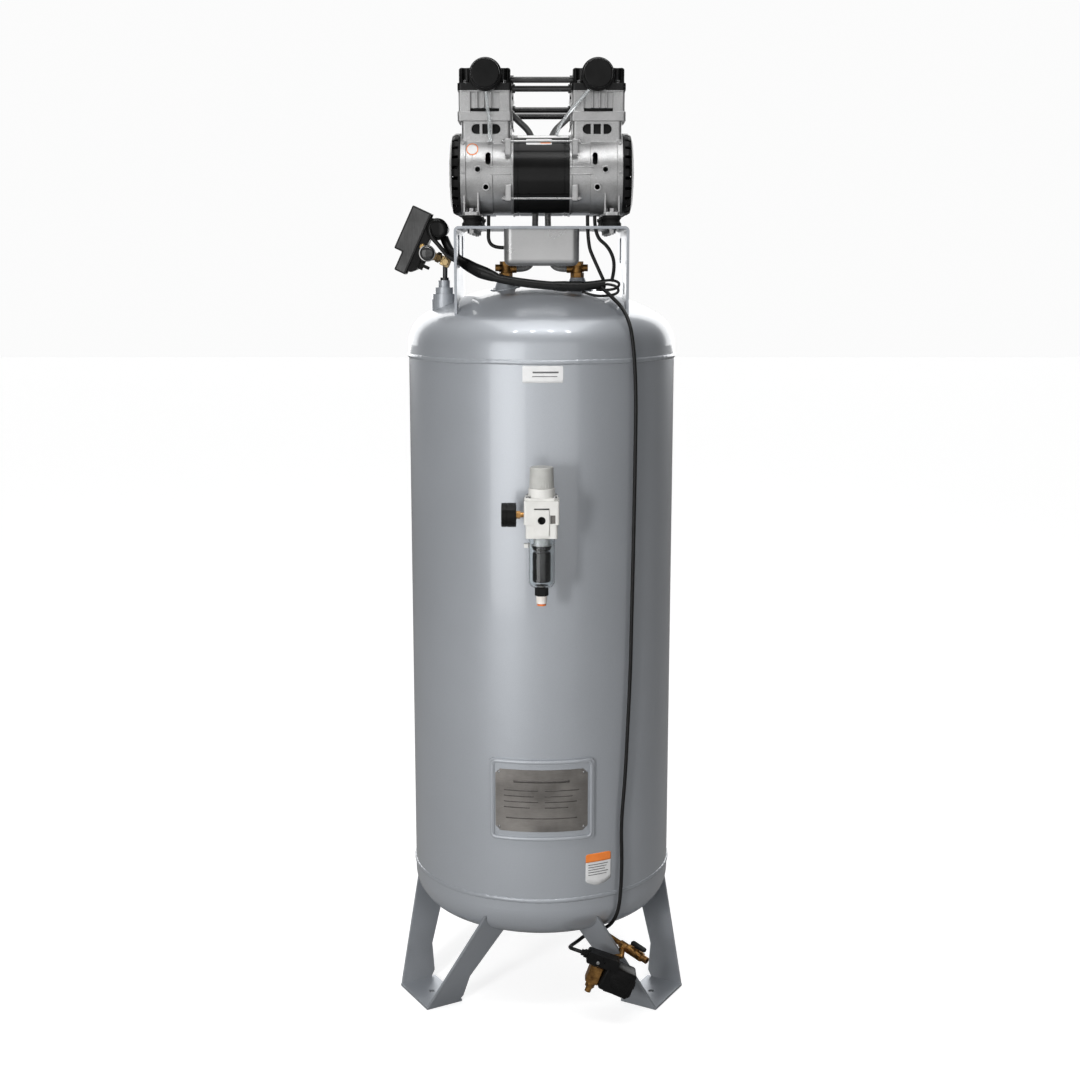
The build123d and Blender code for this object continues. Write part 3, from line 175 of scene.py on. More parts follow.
def two_tone(name, inside, outside, axis, low, high):
    """Two finishes on one part: inside between low and high (metres) along an axis, outside elsewhere."""
    m, tree, shader = new_material(name)
    shade(tree, shader, **outside)
    other = tree.nodes.new("ShaderNodeBsdfPrincipled")
    shade(tree, other, **inside)
    split = add(tree, "ShaderNodeSeparateXYZ")
    tree.links.new(add(tree, "ShaderNodeTexCoord").outputs["Object"], split.inputs[0])
    above = add(tree, "ShaderNodeMath", operation="GREATER_THAN")
    above.inputs[1].default_value = low
    below = add(tree, "ShaderNodeMath", operation="LESS_THAN")
    below.inputs[1].default_value = high
    both = add(tree, "ShaderNodeMath", operation="MULTIPLY")
    for test, slot_number in ((above, 0), (below, 1)):
        tree.links.new(split.outputs[axis], test.inputs[0])
        tree.links.new(test.outputs[0], both.inputs[slot_number])
    mix = tree.nodes.new("ShaderNodeMixShader")
    tree.links.new(both.outputs[0], mix.inputs[0])
    tree.links.new(shader.outputs[0], mix.inputs[1])
    tree.links.new(other.outputs[0], mix.inputs[2])
    output = next(n for n in tree.nodes if n.type == "OUTPUT_MATERIAL")
    tree.links.new(mix.outputs[0], output.inputs[0])
    return m


def clear(name, tint, rough, ior=1.45, transmission=1.0):
    """Clear plastic or glass with faint clouds and scratches."""
    m, tree, shader = new_material(name)
    coords = add(tree, "ShaderNodeTexCoord").outputs["Object"]
    large = noise(tree, coords, 40, 3, 0.5)
    low = tuple(c * 0.93 for c in tint)
    tree.links.new(ramp(tree, large, [(0.3, low), (0.7, tint)]), shader.inputs["Base Color"])
    tree.links.new(remap(tree, large, rough * 0.6, rough * 1.6), shader.inputs["Roughness"])
    shader.inputs["Transmission Weight"].default_value = transmission
    shader.inputs["IOR"].default_value = ior
    normal = bump(tree, [(noise(tree, coords, 300, 2, 0.5), 0.0003, 0.1)])
    tree.links.new(normal, shader.inputs["Normal"])
    return m


def grey(v, tint=(1.0, 1.0, 1.0)):
    return tuple(v * t for t in tint)


COOL = (0.93, 0.98, 1.05)
WARM = (1.06, 1.0, 0.94)
M = {
    "tank": surface(
        "tank_paint", grey(0.42, COOL), grey(0.46, COOL), (0.35, 0.41),
        metal=0.5, blotch=3.0, grain=1600, grain_bump=0.05, wave=0.012, coat=0.8, coat_rough=0.08,
        speckle=0.10,
    ),
    "leg": surface(
        "leg_paint", grey(0.38, COOL), grey(0.44, COOL), (0.34, 0.44),
        metal=0.6, blotch=9.0, grain=1500, grain_bump=0.08, wave=0.02, edge=0.0016, coat=0.1,
        coat_rough=0.2, speckle=0.10,
    ),
    "platform": surface(
        "platform_paint", grey(0.34, COOL), grey(0.42, COOL), (0.26, 0.38),
        metal=0.7, blotch=14.0, grain_bump=0.08, edge=0.001, speckle=0.12,
    ),
    "plate": surface(
        "nameplate_steel", grey(0.22, WARM), grey(0.36, WARM), (0.30, 0.46),
        metal=1.0, blotch=16.0, grain=300, grain_bump=0.12, stretch=(0.2, 0.2, 8), speckle=0.14,
    ),
    "cast": surface(
        "cast_aluminium", grey(0.38), grey(0.50), (0.30, 0.42),
        metal=0.85, blotch=22.0, grain=1100, grain_bump=0.45, edge=0.0016, speckle=0.35,
    ),
    "piston": surface(
        "piston_metal", grey(0.10), grey(0.18), (0.3, 0.45),
        metal=0.9, blotch=30.0, grain_bump=0.15, edge=0.001,
    ),
    "black_cast": surface(
        "black_cast", grey(0.004), grey(0.009), (0.2, 0.32),
        blotch=30.0, grain=700, grain_bump=0.3, edge=0.0016, spec=0.25,
    ),
    "black_plastic": surface(
        "black_plastic", grey(0.004), grey(0.008), (0.24, 0.36),
        blotch=40.0, grain_bump=0.25, edge=0.0009, spec=0.12,
    ),
    "stator": surface(
        "stator_black", grey(0.003), grey(0.006), (0.16, 0.24),
        blotch=12.0, grain=260, grain_bump=0.06, wave=0.01, edge=0.001, spec=0.25,
    ),
    "steel": surface(
        "zinc_steel", grey(0.36), grey(0.48), (0.22, 0.36),
        metal=1.0, blotch=60.0, grain=1500, grain_bump=0.1, edge=0.0006,
    ),
    "shiny_tube": surface(
        "plated_tube", grey(0.035), grey(0.06), (0.16, 0.24),
        metal=0.6, blotch=40.0, grain_bump=0.05, coat=0.4, coat_rough=0.08,
    ),
    "brass": surface(
        "brass", (0.44, 0.27, 0.09), (0.60, 0.40, 0.16), (0.2, 0.38),
        metal=1.0, blotch=60.0, grain_bump=0.2, edge=0.0008, speckle=0.2,
    ),
    "bronze": surface(
        "tarnished_brass", (0.20, 0.10, 0.035), (0.46, 0.25, 0.08), (0.26, 0.46),
        metal=1.0, blotch=90.0, grain_bump=0.3, edge=0.0008, speckle=0.3,
    ),
    "rubber": surface(
        "black_rubber", grey(0.005), grey(0.011), (0.5, 0.68),
        blotch=60.0, grain=1100, grain_bump=0.35, edge=0.001, spec=0.15,
    ),
    "cable": surface(
        "cable_sheath", grey(0.004), grey(0.009), (0.3, 0.42),
        blotch=90.0, grain=1300, grain_bump=0.25, spec=0.3,
    ),
    "hose_grey": surface(
        "grey_hose", grey(0.09), grey(0.15), (0.22, 0.34),
        metal=0.1, blotch=60.0, grain_bump=0.15, coat=0.3, coat_rough=0.15,
    ),
    "white": surface(
        "white_plastic", (0.60, 0.595, 0.57), (0.66, 0.655, 0.63), (0.36, 0.48),
        blotch=50.0, grain=1100, grain_bump=0.2, edge=0.0009,
    ),
    "knob": surface(
        "knob_plastic", (0.38, 0.38, 0.36), (0.44, 0.44, 0.42), (0.36, 0.5),
        blotch=60.0, grain_bump=0.2, edge=0.0006,
    ),
    "cover": surface(
        "cover_plastic", grey(0.009), grey(0.015), (0.36, 0.5),
        blotch=26.0, grain=800, grain_bump=0.4, edge=0.001, spec=0.3,
    ),
    # Lighter copy of the cover plastic, streaked for its ridges: painted light on the cover's lit front face.
    "cover_painted_light": surface(
        "cover_painted_light", grey(0.045), grey(0.075), (0.36, 0.5),
        blotch=30.0, grain=700, grain_bump=0.3, edge=0.001, stretch=(1, 1, 0.08), speckle=0.2, spec=0.3,
    ),
    "orange": surface(
        "orange_plastic", (0.70, 0.16, 0.03), (0.85, 0.22, 0.05), (0.34, 0.44),
        blotch=60.0, grain_bump=0.1, edge=0.0005,
    ),
    "box": surface(
        "box_steel", grey(0.44), grey(0.50), (0.26, 0.34),
        metal=0.8, blotch=9.0, grain=300, grain_bump=0.05, edge=0.001, stretch=(1, 1, 6), speckle=0.05,
    ),
    "capacitor": surface(
        "capacitor_can", grey(0.50), grey(0.56), (0.3, 0.4),
        metal=0.2, blotch=60.0, grain_bump=0.1,
    ),
    "red": surface(
        "needle_red", (0.5, 0.02, 0.01), (0.6, 0.03, 0.015), (0.4, 0.5),
        blotch=60.0, grain_bump=0.1,
    ),
    "bowl": clear("bowl_polycarbonate", (0.93, 0.96, 0.97), 0.05),
    "hose_clear": clear("clear_hose", (0.80, 0.83, 0.84), 0.12, 1.4, 0.75),
    "sticker": surface("label_white", grey(0.64), grey(0.70), (0.3, 0.42), blotch=50.0, grain_bump=0.1),
    "sticker_orange": surface(
        "label_orange", (0.80, 0.20, 0.03), (0.86, 0.25, 0.05), (0.3, 0.42),
        blotch=50.0, grain_bump=0.1,
    ),
    "bowl_drain": two_tone(
        "bowl_drain_plastic",
        dict(dark=grey(0.004), light=grey(0.009), rough=(0.3, 0.4), grain_bump=0.2, edge=0.0008, spec=0.2),
        dict(dark=grey(0.62, WARM), light=grey(0.70, WARM), rough=(0.36, 0.48), grain_bump=0.2, edge=0.0008),
        "Z", 0.852, 0.90,
    ),
    "rotor": two_tone(
        "rotor_steel",
        dict(dark=grey(0.30), light=grey(0.42), rough=(0.3, 0.45), metal=1.0, grain_bump=0.2),
        dict(dark=grey(0.004), light=grey(0.009), rough=(0.4, 0.5), grain_bump=0.2, spec=0.2),
        "X", -0.148, 0.148,
    ),
    "fittings": two_tone(
        "switch_fitting_metals",
        dict(dark=grey(0.06), light=grey(0.14), rough=(0.3, 0.45), metal=1.0, grain_bump=0.3),
        dict(dark=(0.10, 0.07, 0.035), light=(0.34, 0.23, 0.10), rough=(0.24, 0.42), metal=1.0,
             blotch=60.0, grain_bump=0.25, speckle=0.25),
        "Z", 1.30, 1.423,
    ),
    "glass": clear("gauge_glass", (0.95, 0.97, 0.98), 0.03),
    "chrome": surface(
        "chrome", grey(0.22), grey(0.28), (0.08, 0.16),
        metal=1.0, blotch=60.0, grain_bump=0.03,
    ),
    "dark_lens": surface(
        "dark_lens", grey(0.05), grey(0.10), (0.06, 0.12),
        metal=0.7, blotch=40.0, grain_bump=0.02,
    ),
    "pale_brass": surface(
        "pale_brass", (0.50, 0.36, 0.17), (0.62, 0.46, 0.24), (0.3, 0.42),
        metal=0.9, blotch=60.0, grain_bump=0.2, edge=0.0008, speckle=0.15,
    ),
    "plate_mark": surface(
        "etched_mark", grey(0.10, WARM), grey(0.15, WARM), (0.4, 0.5),
        metal=0.8, blotch=60.0, grain_bump=0.1,
    ),
    "sticker_silver": surface(
        "label_silver", grey(0.55), grey(0.64), (0.28, 0.36),
        metal=0.6, blotch=50.0, grain_bump=0.08,
    ),
    "gloss_black": surface(
        "gloss_black", grey(0.004), grey(0.008), (0.10, 0.18),
        blotch=40.0, grain_bump=0.06, spec=0.15,
    ),
    # Flat black: painted shade in the port hole, pump windows and slots, and regulator groove; also the
    # gauge's printed ticks.
    "black_print_and_painted_shade": surface(
        "black_print_and_painted_shade", grey(0.004), grey(0.010), (0.35, 0.5),
        blotch=60.0, grain_bump=0.2, spec=0.15,
    ),
    "window_plate": surface(
        "window_plate", grey(0.10, WARM), grey(0.16, WARM), (0.3, 0.4),
        metal=0.3, blotch=60.0, grain_bump=0.2,
    ),
    "tape": surface(
        "wrapping_tape", grey(0.005), grey(0.011), (0.24, 0.36),
        blotch=70.0, grain=260, grain_bump=0.5, wave=0.1, spec=0.25,
    ),
    "gauge": two_tone(
        "gauge_metals",
        dict(dark=(0.40, 0.20, 0.06), light=(0.58, 0.32, 0.12), rough=(0.2, 0.34), metal=1.0, blotch=60.0,
             grain_bump=0.2, speckle=0.2),
        dict(dark=grey(0.004), light=grey(0.009), rough=(0.2, 0.3), grain_bump=0.2, edge=0.0009, spec=0.12),
        "X", -0.0444, 0.0,
    ),
    "element": two_tone(
        "filter_element_plastics",
        dict(dark=grey(0.76), light=grey(0.84), rough=(0.36, 0.46), grain_bump=0.2),
        dict(dark=grey(0.003), light=grey(0.012), rough=(0.3, 0.4), grain_bump=0.2, spec=0.15),
        "Z", 0.9425, 0.970,
    ),
    "sticker_dark": surface(
        "label_grey", grey(0.10), grey(0.14), (0.3, 0.42),
        blotch=50.0, grain_bump=0.1,
    ),
}

NODE_MATERIALS = {
    "tank": "tank_shell top_head bottom_head nameplate_pad tank_bungs",
    "leg": "leg_left leg_right leg_rear",
    "platform": "platform",
    "plate": "nameplate",
    "box": "capacitor_box",
    "capacitor": "capacitors",
    "rubber": "isolators",
    "steel": "isolator_bolts valve_plates bearings tie_rods safety_valve_ring",
    "rotor": "front_rotor rear_rotor",
    "cast": "front_crankcases rear_crankcases cylinders",
    "piston": "front_left_piston front_right_piston rear_left_piston rear_right_piston",
    "black_cast": "cylinder_heads",
    "black_plastic": "fan_covers switch_base switch_lever ball_valve_handle solenoid_coil coil_plug",
    "gloss_black": "air_filters",
    "gauge": "gauge_case",
    "element": "filter_element",
    "shiny_tube": "cross_tubes",
    "stator": "front_stator rear_stator",
    "cover": "switch_cover",
    "brass": "regulator_spindle",
    "fittings": "switch_fittings",
    "bronze": "drain_pipe ball_valve check_valves solenoid_valve",
    "white": "regulator_body regulator_bonnet",
    "bowl_drain": "bowl_drain",
    "knob": "regulator_knob",
    "red": "gauge_needle",
    "bowl": "filter_bowl",
    "orange": "drain_collet",
}
for key, names in NODE_MATERIALS.items():
    for node in names.split():
        obj = bpy.data.objects.get(node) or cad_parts[node]
        obj.data.materials.clear()
        obj.data.materials.append(M[key])

# ---------------------------------------------------------------- stage

def mesh_object(name, mesh, material, slot=None):
    """Smooth-shaded object; a slot makes it a piece on the receiver."""
    obj = bpy.data.objects.new(name, mesh)
    scene.collection.objects.link(obj)
    mesh.materials.append(M[material])
    for p in mesh.polygons:
        p.use_smooth = True
    if slot:
        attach(obj, "receiver")
    return obj


def plane_mesh(name, size, z):
    mesh = bpy.data.meshes.new(name)
    s = size / 2
    mesh.from_pydata([(-s, -s, z), (s, -s, z), (s, s, z), (-s, s, z)], [], [(0, 1, 2, 3)])
    return mesh


def floor_material(pale=0.50, glow=0.70, bounce=0.30):
    """Plain pale floor: it glows to the camera, and throws little light onto the object's underside."""
    m, tree, shader = new_material("floor")
    seen = add(tree, "ShaderNodeLightPath").outputs["Is Camera Ray"]
    coords = add(tree, "ShaderNodeTexCoord").outputs["Object"]
    patch = ramp(tree, noise(tree, coords, 2.0), [(0.3, grey(pale * 0.99)), (0.7, grey(pale))])
    mix = add(tree, "ShaderNodeMix", data_type="RGBA")
    mix.inputs[6].default_value = (bounce, bounce, bounce, 1)
    tree.links.new(seen, mix.inputs[0])
    tree.links.new(patch, mix.inputs[7])
    tree.links.new(mix.outputs[2], shader.inputs["Base Color"])
    tree.links.new(remap(tree, seen, 0.0, glow, 0.0, 1.0), shader.inputs["Emission Strength"])
    shader.inputs["Emission Color"].default_value = (1, 1, 1, 1)
    shader.inputs["Roughness"].default_value = 0.9
    shader.inputs["Specular IOR Level"].default_value = 0.1
    return m


FLOOR_SIZE = 40
FLOOR_DROP = 0.0005  # below the feet, so the two don't share a plane
BACKDROP = 0.97

M["floor"] = floor_material()
floor = mesh_object("floor", plane_mesh("floor", FLOOR_SIZE, -FLOOR_DROP), "floor")

world = bpy.data.worlds.new("world")
scene.world = world
world.use_nodes = True
scene.view_settings.view_transform = "Standard"


def studio_world(tree, sides=0.05, behind=2.3, above=0.45):
    """Dim studio with a white sheet behind the object and a soft ceiling; plain white to the camera."""
    sheet_edge = (0.66, 0.74)
    ceiling_edge = (0.35, 0.95)
    background = tree.nodes["Background"]
    direction = add(tree, "ShaderNodeTexCoord").outputs["Generated"]
    split = add(tree, "ShaderNodeSeparateXYZ")
    tree.links.new(direction, split.inputs[0])
    sheet = remap(tree, split.outputs["Y"], sides, behind, *sheet_edge)
    ceiling = remap(tree, split.outputs["Z"], 0.0, above, *ceiling_edge)
    total = add(tree, "ShaderNodeMath", operation="ADD")
    tree.links.new(sheet, total.inputs[0])
    tree.links.new(ceiling, total.inputs[1])
    seen = add(tree, "ShaderNodeMix", data_type="FLOAT")
    seen.inputs[3].default_value = BACKDROP
    tree.links.new(add(tree, "ShaderNodeLightPath").outputs["Is Camera Ray"], seen.inputs[0])
    tree.links.new(total.outputs[0], seen.inputs[2])
    tree.links.new(seen.outputs[0], background.inputs["Strength"])
    background.inputs["Color"].default_value = (1, 1, 1, 1)


studio_world(world.node_tree)


def area(name, at, towards, size, watts, glossy=True):
    """Rectangular lamp (metres, watts); glossy=False keeps it out of reflections."""
    data = bpy.data.lights.new(name, "AREA")
    data.shape = "RECTANGLE"
    data.size, data.size_y = size
    data.energy = watts
    obj = bpy.data.objects.new(name, data)
    scene.collection.objects.link(obj)
    obj.location = at
    direction = Vector(towards) - Vector(at)
    obj.rotation_euler = direction.to_track_quat("-Z", "Y").to_euler()
    obj.visible_glossy = glossy


area("key_strip", at=(-1.65, -3.2, 1.25), towards=(0, 0, 0.95), size=(0.36, 0.8), watts=64, glossy=False)
area("key_wide", at=(-1.75, -3.3, 0.8), towards=(0, 0, 0.75), size=(2.0, 3.8), watts=52)
area("front", at=(0.7, -4.2, 1.2), towards=(0, 0, 0.80), size=(3.2, 3.4), watts=27)
area("top", at=(0, -0.4, 4.4), towards=(0, 0, 1.2), size=(3.2, 3.0), watts=44)
for lamp_x in (-0.9, -0.3, 0.3, 0.9):
    area(f"ceiling_{lamp_x}", at=(lamp_x, -1.6, 3.6), towards=(0, 0, 1.4), size=(0.10, 0.30), watts=4)

# ---------------------------------------------------------------- cords: part.py's control points, mm

CABLE_D, LOOM_D, LEAD_D, HOSE_D, BREATHER_D = 7.0, 16.0, 6.5, 12.0, 6.0
DRAIN_CABLE = [
    (110, -129, 1385),
    (131, -148, 1366),
    (152, -180, 1342),
    (164, -203, 1300),
    (170.8, -197, 1200),
    (170.4, -197.2, 1095),
    (169.6, -197, 990),
    (168.4, -198.5, 885),
    (166.8, -199.5, 780),
    (165.4, -201.5, 675),
    (161.5, -204, 575),
    (157.4, -207.6, 475),
    (150.0, -213, 385),
    (152.9, -210.8, 313),
    (151, -214.4, 252),
    (146.7, -214.3, 212),
    (135.9, -206.2, 184.5),
    (122.2, -193.9, 167.7),
    (100, -186, 158),
    (84, -174, 144),
    (69, -186, 137),
    (57, -212, 141),
    (53, -240, 150),
    (59.7, -262.5, 157.3),
    (75.6, -262.5, 151.54),
]
LOOM = [
    (-181.8, -48, 1475),
    (-173, -58, 1453),
    (-160, -78, 1441),
    (-138, -100, 1426),
    (-108, -118, 1410),
    (-74, -125, 1400),
    (-30, -127, 1393),
    (20, -128, 1388),
    (72, -127, 1386),
    (116, -120, 1392),
]
MOTOR_LEADS = [
    [(114, -108, 1398), (98, -106, 1432), (84, -104, 1464), (84, -104, 1515)],
    [(128, -122, 1396), (136, -116, 1424), (124, -108, 1458), (97, -104, 1478), (97, -104, 1515)],
]
CAPACITOR_LEAD = [
    (-97, -100, 1515),
    (-97, -100, 1490),
    (-98, -99, 1468),
    (-86, -98, 1457),
    (-69.5, -98, 1457),
]
BREATHER_HOSES = [
    [(-99, -151, 1729), (-97, -148, 1706), (-94, -136, 1680), (-93, -132, 1644)],
    [(84, -151, 1731.5), (57, -147, 1703), (38, -117, 1681), (27, -62, 1663), (24, -30, 1650)],
]
LEFT_DELIVERY = [
    (-65.5, -32.9, 1712),
    (-65.5, -12, 1712),
    (-46, 0, 1693),
    (-18, 0, 1668),
    (-12, 0, 1620),
    (-11, 1, 1560),
    (-12, 0, 1500),
    (-14, -8, 1462),
    (-17, -31, 1436),
    (-25, -40, 1418),
    (-46.9, -40, 1418),
]
RIGHT_DELIVERY = [
    (65.5, 32.9, 1712),
    (65.5, 12, 1712),
    (46, 0, 1693),
    (18, 0, 1668),
    (12, 0, 1620),
    (11, -1, 1560),
    (12, 0, 1500),
    (14, -8, 1462),
    (17, -31, 1436),
    (25, -40, 1418),
    (46.9, -40, 1418),
]


def cord_curve(name, points, diameter, material):
    """Round cord: one NURBS spline through the route's control points."""
    curve = bpy.data.curves.new(name, "CURVE")
    curve.dimensions = "3D"
    spline = curve.splines.new("NURBS")
    spline.points.add(len(points) - 1)
    for target, p in zip(spline.points, points):
        target.co = (p[0] * MM, p[1] * MM, p[2] * MM, 1)
    spline.order_u = 3
    spline.use_endpoint_u = True
    spline.resolution_u = 8
    curve.bevel_depth = diameter / 2 * MM
    curve.bevel_resolution = 6
    curve.use_fill_caps = True
    obj = bpy.data.objects.new(name, curve)
    scene.collection.objects.link(obj)
    curve.materials.append(M[material])
    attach(obj, "receiver")
    return obj


def free_cord(name, points, diameter, material, node):
    obj = cord_curve(name, points, diameter, material)
    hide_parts(node)


free_cord("drain_lead", DRAIN_CABLE, CABLE_D, "cable", "drain_cable")
free_cord("loom", LOOM, LOOM_D, "cable", "wiring_loom")
free_cord("capacitor_wire", CAPACITOR_LEAD, LEAD_D, "cable", "capacitor_lead")
for number, (route, length) in enumerate(zip(MOTOR_LEADS, (0.123, 0.132)), start=1):
    free_cord(
        f"motor_wire_{number}", route, LEAD_D, "cable", "motor_leads"
    )
for number, (route, length) in enumerate(zip(BREATHER_HOSES, (0.088, 0.172)), start=1):
    free_cord(
        f"breather_{number}", route, BREATHER_D, "hose_clear",
        "breather_hoses",
    )
for side, route in (("left", LEFT_DELIVERY), ("right", RIGHT_DELIVERY)):
    free_cord(f"delivery_{side}", route, HOSE_D, "hose_grey", "delivery_hoses")

# ---------------------------------------------------------------- mesh kit (millimetres)

def circle(count):
    """Angles once round a circle, in radians."""
    return [2 * math.pi * k / count for k in range(count)]


def basis(axis):
    """Two directions square to an axis, and the axis."""
    z = Vector(axis).normalized()
    side = Vector((0, 0, 1)) if abs(z.z) < 0.9 else Vector((1, 0, 0))
    x = side.cross(z).normalized()
    return x, z.cross(x), z


class Build:
    """Collects closed skins into one mesh, with places and sizes in millimetres."""

    def __init__(self):
        self.bm = bmesh.new()

    def skin(self, rings, closed=False):
        """Closed skin over rings of points: capped at its ends, or closed from the last ring to the first."""
        rows = [[self.bm.verts.new(Vector(p) * MM) for p in ring] for ring in rings]
        pairs = list(zip(rows, rows[1:]))
        if closed:
            pairs.append((rows[-1], rows[0]))
        else:
            self.bm.faces.new(rows[0])
            self.bm.faces.new(rows[-1])
        for low, high in pairs:
            for j in range(len(low)):
                k = (j + 1) % len(low)
                self.bm.faces.new((low[j], low[k], high[k], high[j]))

    def lathe(self, centre, axis, profile, sides=40, closed=False):
        """Turned solid: profile is (radius, distance along the axis from the centre)."""
        x, y, z = basis(axis)
        rings = []
        for radius, along in profile:
            middle = Vector(centre) + z * along
            rings.append([middle + (x * math.cos(t) + y * math.sin(t)) * radius for t in circle(sides)])
        self.skin(rings, closed)

    def hexagon(self, centre, axis, across, height, washer=0.0):
        """Hexagon head with chamfered corners, on a round washer if one is given."""
        corner = across / math.sqrt(3)
        if washer:
            self.lathe(centre, axis, [(washer, 0), (washer, 0.7), (washer - 0.4, 1.0)], 24)
        profile = [(corner, 0), (corner, height * 0.8), (corner * 0.86, height)]
        self.lathe(centre, axis, profile, 6)

    def box(self, centre, size, round_by=1.0, turn=(0, 0, 0)):
        """Box with rounded edges, turned by angles in degrees."""
        made = bmesh.ops.create_cube(self.bm, size=1.0)["verts"]
        edges = list({e for v in made for e in v.link_edges})
        bmesh.ops.scale(self.bm, vec=Vector(size) * MM, verts=made)
        shaped = bmesh.ops.bevel(
            self.bm, geom=edges, offset=round_by * MM, segments=3, affect="EDGES", profile=0.5
        )
        verts = list({v for f in shaped["faces"] for v in f.verts})
        spin = Matrix.Identity(3)
        for angle, axis in zip(turn, "XYZ"):
            spin = Matrix.Rotation(math.radians(angle), 3, axis) @ spin
        bmesh.ops.rotate(self.bm, cent=(0, 0, 0), matrix=spin, verts=verts)
        bmesh.ops.translate(self.bm, vec=Vector(centre) * MM, verts=verts)

    def bead(self, path, normals, width, height, ripple):
        """Bead along a closed path of points; ripple sets how often its scales swell."""
        rings = []
        for i, (p, n) in enumerate(zip(path, normals)):
            tangent = (path[(i + 1) % len(path)] - path[i - 1]).normalized()
            side = tangent.cross(n)
            swell = 0.80 + 0.20 * abs(math.sin(i * ripple)) * (0.8 + 0.2 * math.sin(i * 0.61))
            half = width / 2
            rings.append(
                [p + (side * half * math.cos(t) + n * height * math.sin(t)) * swell for t in circle(10)]
            )
        self.skin(rings, closed=True)

    def done(self, name, material, slot, smooth=35):
        """Ends the mesh as a piece; edges sharper than smooth (degrees) stay sharp."""
        bmesh.ops.recalc_face_normals(self.bm, faces=self.bm.faces)
        mesh = bpy.data.meshes.new(name)
        self.bm.to_mesh(mesh)
        self.bm.free()
        mesh_object(name, mesh, material, slot)
        mesh.set_sharp_from_angle(angle=math.radians(smooth))


def rounded_columns(x0, x1, z0, z1, corner, count=22):
    """Columns (across, low, high) of a rectangle with rounded corners."""
    columns = []
    for k in range(count + 1):
        across = x0 + (x1 - x0) * (1 - math.cos(math.pi * k / count)) / 2
        edge = min(across - x0, x1 - across, corner)
        inset = 0.98 * (corner - math.sqrt(corner ** 2 - (corner - edge) ** 2))
        columns.append((across, z0 + inset, z1 - inset))
    return columns


def rounded_path(half, z0, z1, corner, spacing=4):
    """Points (across, up) once round a rectangle with rounded corners."""
    rim = []
    for corner_x, corner_z, start in ((half, z1, 0), (-half, z1, 90), (-half, z0, 180), (half, z0, 270)):
        middle_x = corner_x - math.copysign(corner, corner_x)
        middle_z = corner_z - math.copysign(corner, corner_z - (z0 + z1) / 2)
        for step in range(9):
            t = math.radians(start + 11.25 * step)
            rim.append((middle_x + corner * math.cos(t), middle_z + corner * math.sin(t)))
    path = []
    for (from_x, from_z), (to_x, to_z) in zip(rim, rim[1:] + rim[:1]):
        run_x, run_z = to_x - from_x, to_z - from_z
        pieces = max(1, round(math.hypot(run_x, run_z) / spacing))
        path += [(from_x + run_x * k / pieces, from_z + run_z * k / pieces) for k in range(pieces)]
    return path


def label(name, columns, place, material, slot="white_plastic", rows=6, thick=0.3):
    """Thin sheet on a curved face; place(across, up) is a point of that face, in millimetres."""
    mesh = bpy.data.meshes.new(name)
    points = []
    for across, low, high in columns:
        points += [place(across, low + (high - low) * r / rows) * MM for r in range(rows + 1)]
    faces = []
    for i in range(len(columns) - 1):
        for r in range(rows):
            a, b = i * (rows + 1) + r, (i + 1) * (rows + 1) + r
            faces.append((a, b, b + 1, a + 1))
    mesh.from_pydata(points, [], faces)
    obj = mesh_object(name, mesh, material, slot)
    sheet = obj.modifiers.new("thickness", "SOLIDIFY")
    sheet.thickness = thick * MM
    sheet.offset = 1


def upright(radius):
    """Face of a cylinder that stands on Z, seen from the front."""
    return lambda across, up: Vector((across, -math.sqrt(radius ** 2 - across ** 2), up))


def lying(radius, y, z):
    """Face of a cylinder that lies along X, seen from the front."""
    return lambda across, up: Vector((across, y - math.sqrt(radius ** 2 - (up - z) ** 2), up))


# ---------------------------------------------------------------- tank: welds, labels, nameplate

TANK_R, HEAD_Z0, HEAD_DEPTH, CROWN_R = 254.0, 1278.0, 112.0, 468.5
CROWN_CENTRE = Vector((0, 0, HEAD_Z0 + HEAD_DEPTH - CROWN_R))
SEAMS = (249.0, 1257.0)
BUNG_WELDS = ((-67, -40, 27), (67, -40, 27), (-184, -32, 19))
PAD_HALF, PAD_Z0, PAD_Z1, PAD_CORNER, PAD_RIM_R = 93.5, 372.5, 521.5, 9.0, 258.9
PLATE_FACE_R = 257.8
LABEL_LIFT = 0.1  # a label's back above the face under it
PRINT_LIFT = 0.42  # a printed mark's back above the same face, clear of the label
FRONT = (0, -1, 0)


def head_top(x, y):
    return HEAD_Z0 + HEAD_DEPTH - CROWN_R + math.sqrt(CROWN_R ** 2 - x * x - y * y)


def tank_marks(name, bars, radius, material, slot="white_plastic", thick=0.1, corner=0.6):
    """Plain bars on the tank's front in place of lines of text: bars are (x0, x1, z, height)."""
    for number, (x0, x1, z, tall) in enumerate(bars):
        columns = rounded_columns(x0, x1, z, z + tall, corner)
        label(f"{name}_{number}", columns, upright(radius), material, slot, 1, thick)


welds = Build()
for seam_z in SEAMS:
    turns = circle(640)
    ring = [
        Vector((TANK_R * math.cos(t), TANK_R * math.sin(t), seam_z + 0.5 * math.sin(9 * t))) for t in turns
    ]
    outward = [Vector((math.cos(t), math.sin(t), 0)) for t in turns]
    welds.bead(ring, outward, width=9.5, height=2.4, ripple=0.45)
for x, y, r in BUNG_WELDS:
    spots = [(x + r * math.cos(t), y + r * math.sin(t)) for t in circle(90)]
    ring = [Vector((px, py, head_top(px, py))) for px, py in spots]
    outward = [(p - CROWN_CENTRE).normalized() for p in ring]
    welds.bead(ring, outward, width=7.0, height=2.6, ripple=0.55)
path = rounded_path(PAD_HALF, PAD_Z0, PAD_Z1, PAD_CORNER)
outward = [Vector((x, -math.sqrt(PAD_RIM_R ** 2 - x * x), 0)).normalized() for x, _ in path]
on_pad = [n * PAD_RIM_R + Vector((0, 0, z)) for n, (_, z) in zip(outward, path)]
welds.bead(on_pad, outward, width=8.6, height=2.0, ripple=0.0)
